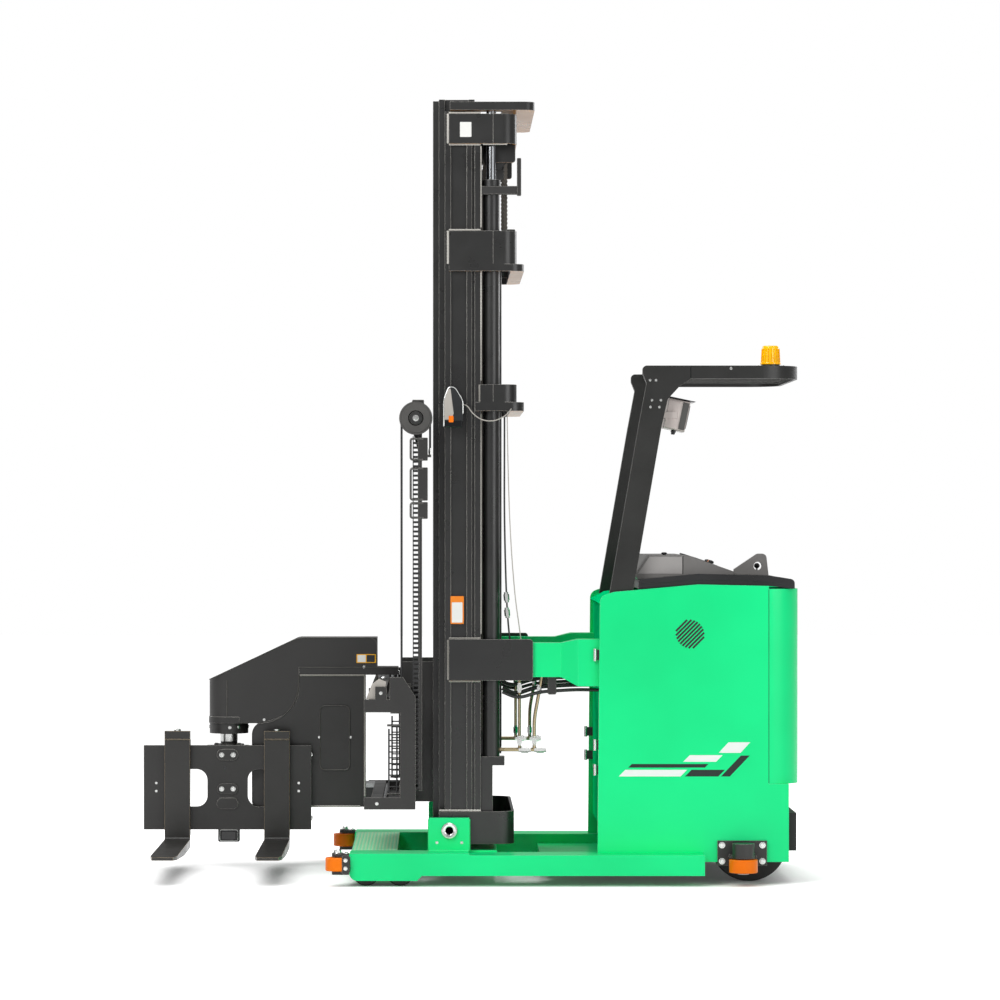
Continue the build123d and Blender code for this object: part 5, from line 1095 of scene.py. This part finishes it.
# %% Fork plate: lug bolts, plugs, sensor and pins
LUG_FACE_MM = 331.7
PLUG_BASE_MM = 340.1
bolts("lug_bolts", [(-1047 + dx, LUG_FACE_MM, z) for dx in (-27, 27) for z in (369, 530)],
    TO_CAMERA, 9, "turret")
near_plate("lug_middle", rounded_rectangle(-1097, -997, 343, 395, 25), 340.5, 8.5,
    black_powder_coat, "turret", 1.5)
plugs = [circle(-1058, 467, 7)]
plugs += [circle(x, z, 6) for x in (-1384, -710) for z in (358, 396)]
# Painted shade: the first disc is dark, for the shade inside a hole; the others are bright
# zinc plugs.
for index, outline in enumerate(plugs):
    plug = zinc_plated_steel if index else screen_glass
    near_plate(f"plate_hole_{index}", outline, PLUG_BASE_MM, 0.3, plug, "turret", 0.1)
bolts("plate_end_bolts", [(-651, 355, 529), (-651, 355, 230)], (1, 0, 0), 9, "turret")
for index, x in enumerate((-1100, -994)):
    near_plate(f"plate_tab_{index}", rounded_rectangle(x - 9, x + 9, 572, 586, 2), 360, 12,
        black_powder_coat, "turret", 1.0)
near_plate("sensor_box", rounded_rectangle(-1097, -994, 110, 174, 8), 478, 38,
    cover_plastic, "turret", 3.0)
near_plate("sensor_window", rounded_rectangle(-1080, -1014, 122, 160, 5), 439.5, 2,
    screen_glass, "turret", 0.5)
outline_rod("sensor_frame", rounded_rectangle(-1088, -1003, 116, 168, 8), 438.5, 2.0,
    zinc_plated_steel, "turret")
for word, middle in (("outer", -1282), ("inner", -812)):
    body = f"{word}_fork"
    turned(f"fork_pin_{word}", [(0, 0), (15, 0), (16, 1.5), (16, 8), (13, 10), (0, 10)],
        (middle, 320, 643), UP, zinc_plated_steel, body, sides=24)
    weld(f"fork_hook_weld_{word}", *on_face(299.5,
        ((middle - 58, 604), (middle + 58, 604))), 4, fork_paint, body)
print("fork plate: lug bolts, plugs, tabs; fork pins")

# %% [markdown]
# ## The body
#
# The side panels carry a decoration of slanted bars in white and dark grey, cut
# from film. A round vent of slanted slots lets warm air out; each slot is a thin
# black sheet, painted shade for the dark inside of the opening. The panels hang
# on hinges at the front edge, and a fine seam shows where the rear corner is
# bolted on. The cover has a trim line.


# %% Decoration, vent, hinges and seams
def both_sides(name, outline_mm, thick_mm, finish):
    """The same thin plate on the near and on the far side of the body."""
    for side, word in SIDES:
        side_plate(f"{name}_{word}", outline_mm, side * 630.0, thick_mm, finish, rim_mm=0.1)


BARS = (("white_long", 762, 1040, 486, 516, 30), ("grey_long", 805, 1150, 526, 542, 16),
    ("white_mid", 1052, 1200, 552, 582, 30), ("grey_mid", 1060, 1210, 486, 516, 30),
    ("white_end", 1212, 1310, 592, 640, 44), ("grey_end", 1222, 1262, 486, 580, 90))
for name, x0, x1, z0, z1, lean in BARS:
    finish = stripe_white if name.startswith("white") else stripe_grey
    both_sides(f"bar_{name}", [(x0, z0), (x1, z0), (x1 + lean, z1), (x0 + lean, z1)], 0.5,
        finish)

VENT_X, VENT_Z, VENT_RADIUS = 1083.0, 1127.0, 67.0
SLOT_HALF_WIDTH = 4.4
slant = math.sqrt(0.5)
# Painted shade: each vent slot is a thin black sheet for the shade inside the opening.
for index, offset in enumerate(np.linspace(-54, 54, 9)):
    half = math.sqrt(VENT_RADIUS**2 - offset**2) - 4
    centre = np.array([VENT_X + offset * slant, VENT_Z - offset * slant])
    along = np.array([slant, slant]) * half
    across = np.array([slant, -slant]) * SLOT_HALF_WIDTH
    slot = np.array([centre - along - across, centre + along - across,
        centre + along + across, centre - along + across])
    both_sides(f"vent_slot_{index}", slot, 0.4, pad_rubber)
for side, word in SIDES:
    for index, (low, high) in enumerate(((490, 540), (602, 652), (1005, 1060))):
        rod(f"panel_hinge_{index}_{word}", [(656, side * 612, low),
            (656, side * 612, high)], 8, zinc_plated_steel)
        near_plate(f"panel_hinge_leaf_{index}_{word}",
            rounded_rectangle(652, 700, low + 4, high - 4, 3), side * 609 + 3, 6,
            black_powder_coat)
    rod(f"rear_seam_{word}", [(1438, side * 629.6, 456), (1438, side * 629.6, 1326)], 1.6,
        stripe_grey, sides=6)
    trim = [(860, 1352), (1100, 1369), (1300, 1369), (1548, 1350)]
    rod(f"cover_trim_{word}", on_face(side * 612.2, trim), 1.8, lamp_plastic, sides=6)
print("body: decoration, vents, hinges, seams, trim")

# %% [markdown]
# ## The operator's place
#
# The operator stands at the back, between the pads, on a ribbed rubber mat.
# Seen from behind, the console carries a steering disc with its knob and three
# push buttons. A lever with a ball stands behind the hand guard.

# %% Mat and controls
for index, x in enumerate(np.arange(1120, 1500, 26)):
    rod(f"mat_rib_{index}", [(x, -96, 236.5), (x, 452, 236.5)], 5, pad_rubber, sides=8)
CONSOLE_SLOPE = np.array([0.329, 0.0, 0.944])
turned("steer_disc", [(0, 0), (96, 0), (102, 3), (100, 8), (88, 9), (30, 11), (0, 11)],
    (1180, 250, 1445), CONSOLE_SLOPE, cover_plastic, sides=48)
turned("steer_knob", [(0, 0), (14, 0), (20, 4), (19, 10), (12, 14), (0, 15)],
    (1225, 300, 1438), CONSOLE_SLOPE, pad_rubber)
button = [(0, 0), (17, 0), (18, 3), (13, 6), (13, 14), (10, 17), (0, 18)]
for index, (y, finish) in enumerate(((-180, label_orange), (-225, cover_plastic),
        (60, cover_plastic))):
    turned(f"push_button_{index}", button, (1200, y, 1437.8), CONSOLE_SLOPE, finish,
        sides=24)
turned("console_top_knob", [(0, 0), (7, 0), (7, 4), (13, 6), (14, 10), (10, 14), (0, 15)],
    (984, -300, 1478), UP, cover_plastic, sides=24)
rod("lift_lever_stalk", [(1402, -384, 1396), (1402, -384, 1424)], 5, zinc_plated_steel)
turned("lift_lever_ball", [(0, -13), (7, -11), (12, -6), (14, 0), (12, 6), (7, 11),
    (0, 13)], (1402, -384, 1432), UP, cover_plastic, sides=24)
# Painted light: a paler plate on the front part of the console's near face, for its lit
# facet.
near_plate("console_near_lit_face", [(852, 1397), (905, 1474), (1053, 1474), (1053, 1397)],
    -545.1, 0.8, console_lit_face_plastic, rim_mm=0.3)
rod("console_seam", [(1056, -545.2, 1396), (1056, -545.2, 1477), (1056, -500, 1480.2)], 1.6,
    screen_glass, sides=6)
print("operator's place: mat ribs, steering disc, buttons, lever")

# %% [markdown]
# ## The overhead guard
#
# The guard's posts are bolted to the roof frame by plates at the neck. A round
# warning lamp stands on the roof on an amber ring, and its cover has fine ribs.
# A display hangs inside the near post, turned to the operator.

# %% Guard bolts, beacon ribs and display face
for side, word in SIDES:
    out, face = (0, side, 0), side * 610.2
    neck = [(904, 2270), (931, 2270), (913, 2180), (953, 2180), (906, 2149), (946, 2149)]
    bolts(f"neck_bolts_{word}", on_face(face, neck), out, 4.5)
    bolts(f"roof_side_bolts_{word}", [(1269, face, 2323)], out, 5)
    rod(f"roof_seam_{word}", [(1088, face, 2280), (1088, face, 2334)], 1.8, screen_glass,
        sides=6)
BEACON_X, BEACON_Y = 1461, -430
for index, turn in enumerate(np.linspace(0, 2 * math.pi, 20, endpoint=False)):
    spoke = np.array([math.cos(turn), math.sin(turn), 0.0])
    rib = [np.array([BEACON_X, BEACON_Y, 2352]) + spoke * 43.0,
        np.array([BEACON_X, BEACON_Y, 2418]) + spoke * 39.4]
    rod(f"beacon_rib_{index:02d}", rib, 1.8, amber_rib, sides=6)
turned("beacon_ring", [(43, 0), (46, 0), (47, 3), (46, 8), (44, 9), (43, 5), (43, 0)],
    (BEACON_X, BEACON_Y, 2347), UP, amber_lens, sides=48)
bolts("beacon_plate_bolts", [(x, y, 2336.2) for x in (1398, 1512) for y in (-493, -367)],
    UP, 7)
DISPLAY_X, DISPLAY_Z = 1030, 2115
tilt = math.radians(12)
screen_up = np.array([math.sin(tilt), 0.0, math.cos(tilt)])
screen_out = np.array([math.cos(tilt), 0.0, -math.sin(tilt)])
screen_middle = at(DISPLAY_X, -440, DISPLAY_Z) + screen_out * 48.2 * MM
slab("display_bezel", rounded_rectangle(-0.088, 0.088, -0.054, 0.054, 0.010), 3 * MM,
    screen_middle, (0, 1, 0), screen_up, cover_plastic, "chassis", 1 * MM)
slab("display_screen", rounded_rectangle(-0.074, 0.074, -0.042, 0.042, 0.005), 1.2 * MM,
    screen_middle + screen_out * 3 * MM, (0, 1, 0), screen_up, screen_glass, "chassis",
    0.4 * MM)


def display_side(pairs):
    """Points on the display's side: each u towards the operator and v up along the box."""
    centre = np.array([DISPLAY_X, 0, DISPLAY_Z])
    return [(centre + screen_out * u + screen_up * v)[[0, 2]] for u, v in pairs]


near_plate("display_side_band", display_side([(16, -62), (44, -62), (44, 62), (16, 62)]),
    -549.8, 1.2, pulley_plastic, rim_mm=0.3)
near_plate("display_visor", display_side([(-52, 72), (66, 72), (70, 76), (-52, 76)]), -338,
    206, cover_plastic, rim_mm=1)
for index, y in enumerate((-510, -470, -430)):
    turned(f"display_plug_{index}", [(0, 0), (10, 0), (10, 10), (7, 12), (7, 20), (0, 20)],
        (1018, y, 2048), -screen_up, cover_plastic, sides=16)
print("guard: bolts, beacon ribs, display face")

# %% [markdown]
# ## The mast's lamp
#
# The work lamp on the near upright has a grey housing with a bright rim on its
# front edge, an orange lens and a dark foot below it. Its cable hangs in a
# shallow loop to the shelf of the low band.

# %% Mast lamp lens, rim and cable
near_plate("mast_lamp_foot", rounded_rectangle(-22, 58, 2058, 2090, 7), -547, 50,
    screen_glass, rim_mm=2)
near_plate("mast_lamp_lens", rounded_rectangle(-3, 19, 2080, 2110, 5), -602, 4, lamp_lens,
    rim_mm=1.5)
lamp_face = [(-23, 2092), (8, 2092), (20, 2120), (12, 2180), (6, 2232), (-5, 2232),
    (-23, 2180)]
near_plate("mast_lamp_face", lamp_face, -599.8, 3, lamp_shell, rim_mm=1)
rim = [(-25, 2062), (-25, 2180), (-3, 2240), (24, 2240), (61, 2180), (61, 2120)]
rod("mast_lamp_rim", on_face(-598, rim), 2.6, zinc_plated_steel, bend_mm=20, sides=8)
lamp_way = [(60, -572, 2160), (78, -576, 2163), (104, -578, 2120), (150, -578, 2088),
    (205, -578, 2086), (252, -574, 2108), (276, -566, 2136), (280, -557, 2142)]
free_cord("mast_lamp_cable", lamp_way, 5, lamp_shell, "chassis")
near_plate("sensor_bracket", rounded_rectangle(306, 325, 3106, 3276, 4), -520, 26,
    black_powder_coat, rim_mm=1)
near_plate("cylinder_clamp", rounded_rectangle(136, 316, 3112, 3150, 10), -512, 30,
    black_powder_coat, rim_mm=2)
print("mast lamp: lens, rim, cable; sensor bracket and clamp")

# %% [markdown]
# ## Floor, white surroundings and lamps
#
# The photograph is a cut-out on white with a soft shadow under the machine. The
# floor is a large pale sheet. To the camera, and to glossy and transmitted
# rays, it adds just enough of its own glow to reach white. The glow fades with
# ambient occlusion close to the machine, so that the soft shadow there shows.
# The world does the same with Light Path: white to the eye, a plain soft grey
# as light. Large area lamps above the near side model the shapes, and weaker
# ones fill.

# %% Floor
FLOOR_HALF = 40
grid_x, grid_y = np.meshgrid(*[np.linspace(-1, 1, 3) * FLOOR_HALF] * 2, indexing="ij")
floor_points = np.stack([grid_x, grid_y, np.zeros_like(grid_x)], axis=-1).reshape(-1, 3)
floor_mesh = bpy.data.meshes.new("floor")
floor_faces = [face[::-1] for face in grid_faces(3, 3, wrap_columns=False)]
floor_mesh.from_pydata(floor_points.tolist(), [], floor_faces)
floor = bpy.data.objects.new("floor", floor_mesh)
bpy.context.scene.collection.objects.link(floor)


def any_ray(tree, *kinds):
    """1 for a ray of one of the given kinds, 0 for the rest."""
    rays = add(tree, "LightPath").outputs
    share = rays[kinds[0]]
    for kind in kinds[1:]:
        share = add(tree, "Math", {0: share, 1: rays[kind]}, operation="MAXIMUM").outputs[0]
    return share


material, tree, place = start_material("floor_paper")
tone = tones(tree, noise(tree, place, 2.0, 3.0), "#E4E4E4", "#E8E8E8")
diffuse = add(tree, "BsdfDiffuse", {"Color": tone})
near_by = add(tree, "AmbientOcclusion", {"Distance": 0.7}, samples=12, only_local=False)
open_share = mapped(tree, near_by.outputs["AO"], 0.22, 1.0, 0.05, 0.8, "SMOOTHSTEP")
glow = add(tree, "Emission", {"Color": linear("#FFFFFF"), "Strength": open_share})
nothing = add(tree, "Emission", {"Strength": 0.0})
added = add(tree, "MixShader", {
    "Fac": any_ray(tree, "Is Camera Ray", "Is Glossy Ray", "Is Transmission Ray"),
    1: nothing.outputs["Emission"],
    2: glow.outputs["Emission"],
})
both = add(tree, "AddShader", {0: diffuse.outputs["BSDF"], 1: added.outputs["Shader"]})
finish_material(tree, both.outputs["Shader"])
floor_mesh.materials.append(material)

# %% World
world = bpy.data.worlds.new("white_studio")
bpy.context.scene.world = world
world.use_nodes = True
tree = world.node_tree
tree.nodes.clear()
seen = any_ray(tree, "Is Camera Ray", "Is Transmission Ray")
strength = mapped(tree, seen, 0.0, 1.0, 0.36, 1.0)
background = add(tree, "Background", {"Color": linear("#FFFFFF"), "Strength": strength})
add(tree, "OutputWorld", {"Surface": background.outputs["Background"]})


# %% Lamps
def area_lamp(name, place, target, width, height, power):
    """A soft rectangular lamp turned to look at its target."""
    lamp = bpy.data.lights.new(name, "AREA")
    lamp.shape = "RECTANGLE"
    lamp.size = width
    lamp.size_y = height
    lamp.energy = power
    holder = bpy.data.objects.new(name, lamp)
    holder.location = place
    towards = Vector(target) - Vector(place)
    holder.rotation_euler = towards.to_track_quat("-Z", "Y").to_euler()
    bpy.context.scene.collection.objects.link(holder)


middle = (0.2, 0.0, 1.5)
area_lamp("key_lamp", (-3.0, -5.5, 5.5), middle, 3.5, 3.5, 290)
area_lamp("fill_lamp", (5.0, -6.0, 2.6), middle, 4.0, 3.0, 115)
area_lamp("top_lamp", (0.5, 0.5, 7.5), (0.2, 0.0, 0.0), 5.0, 5.0, 225)
area_lamp("rim_lamp", (-4.0, 5.0, 4.0), middle, 3.0, 3.0, 110)
area_lamp("back_lamp", (5.0, 5.0, 4.0), middle, 3.0, 3.0, 110)
bpy.context.scene.view_settings.view_transform = "Standard"
print("lamps:", len(bpy.data.lights))
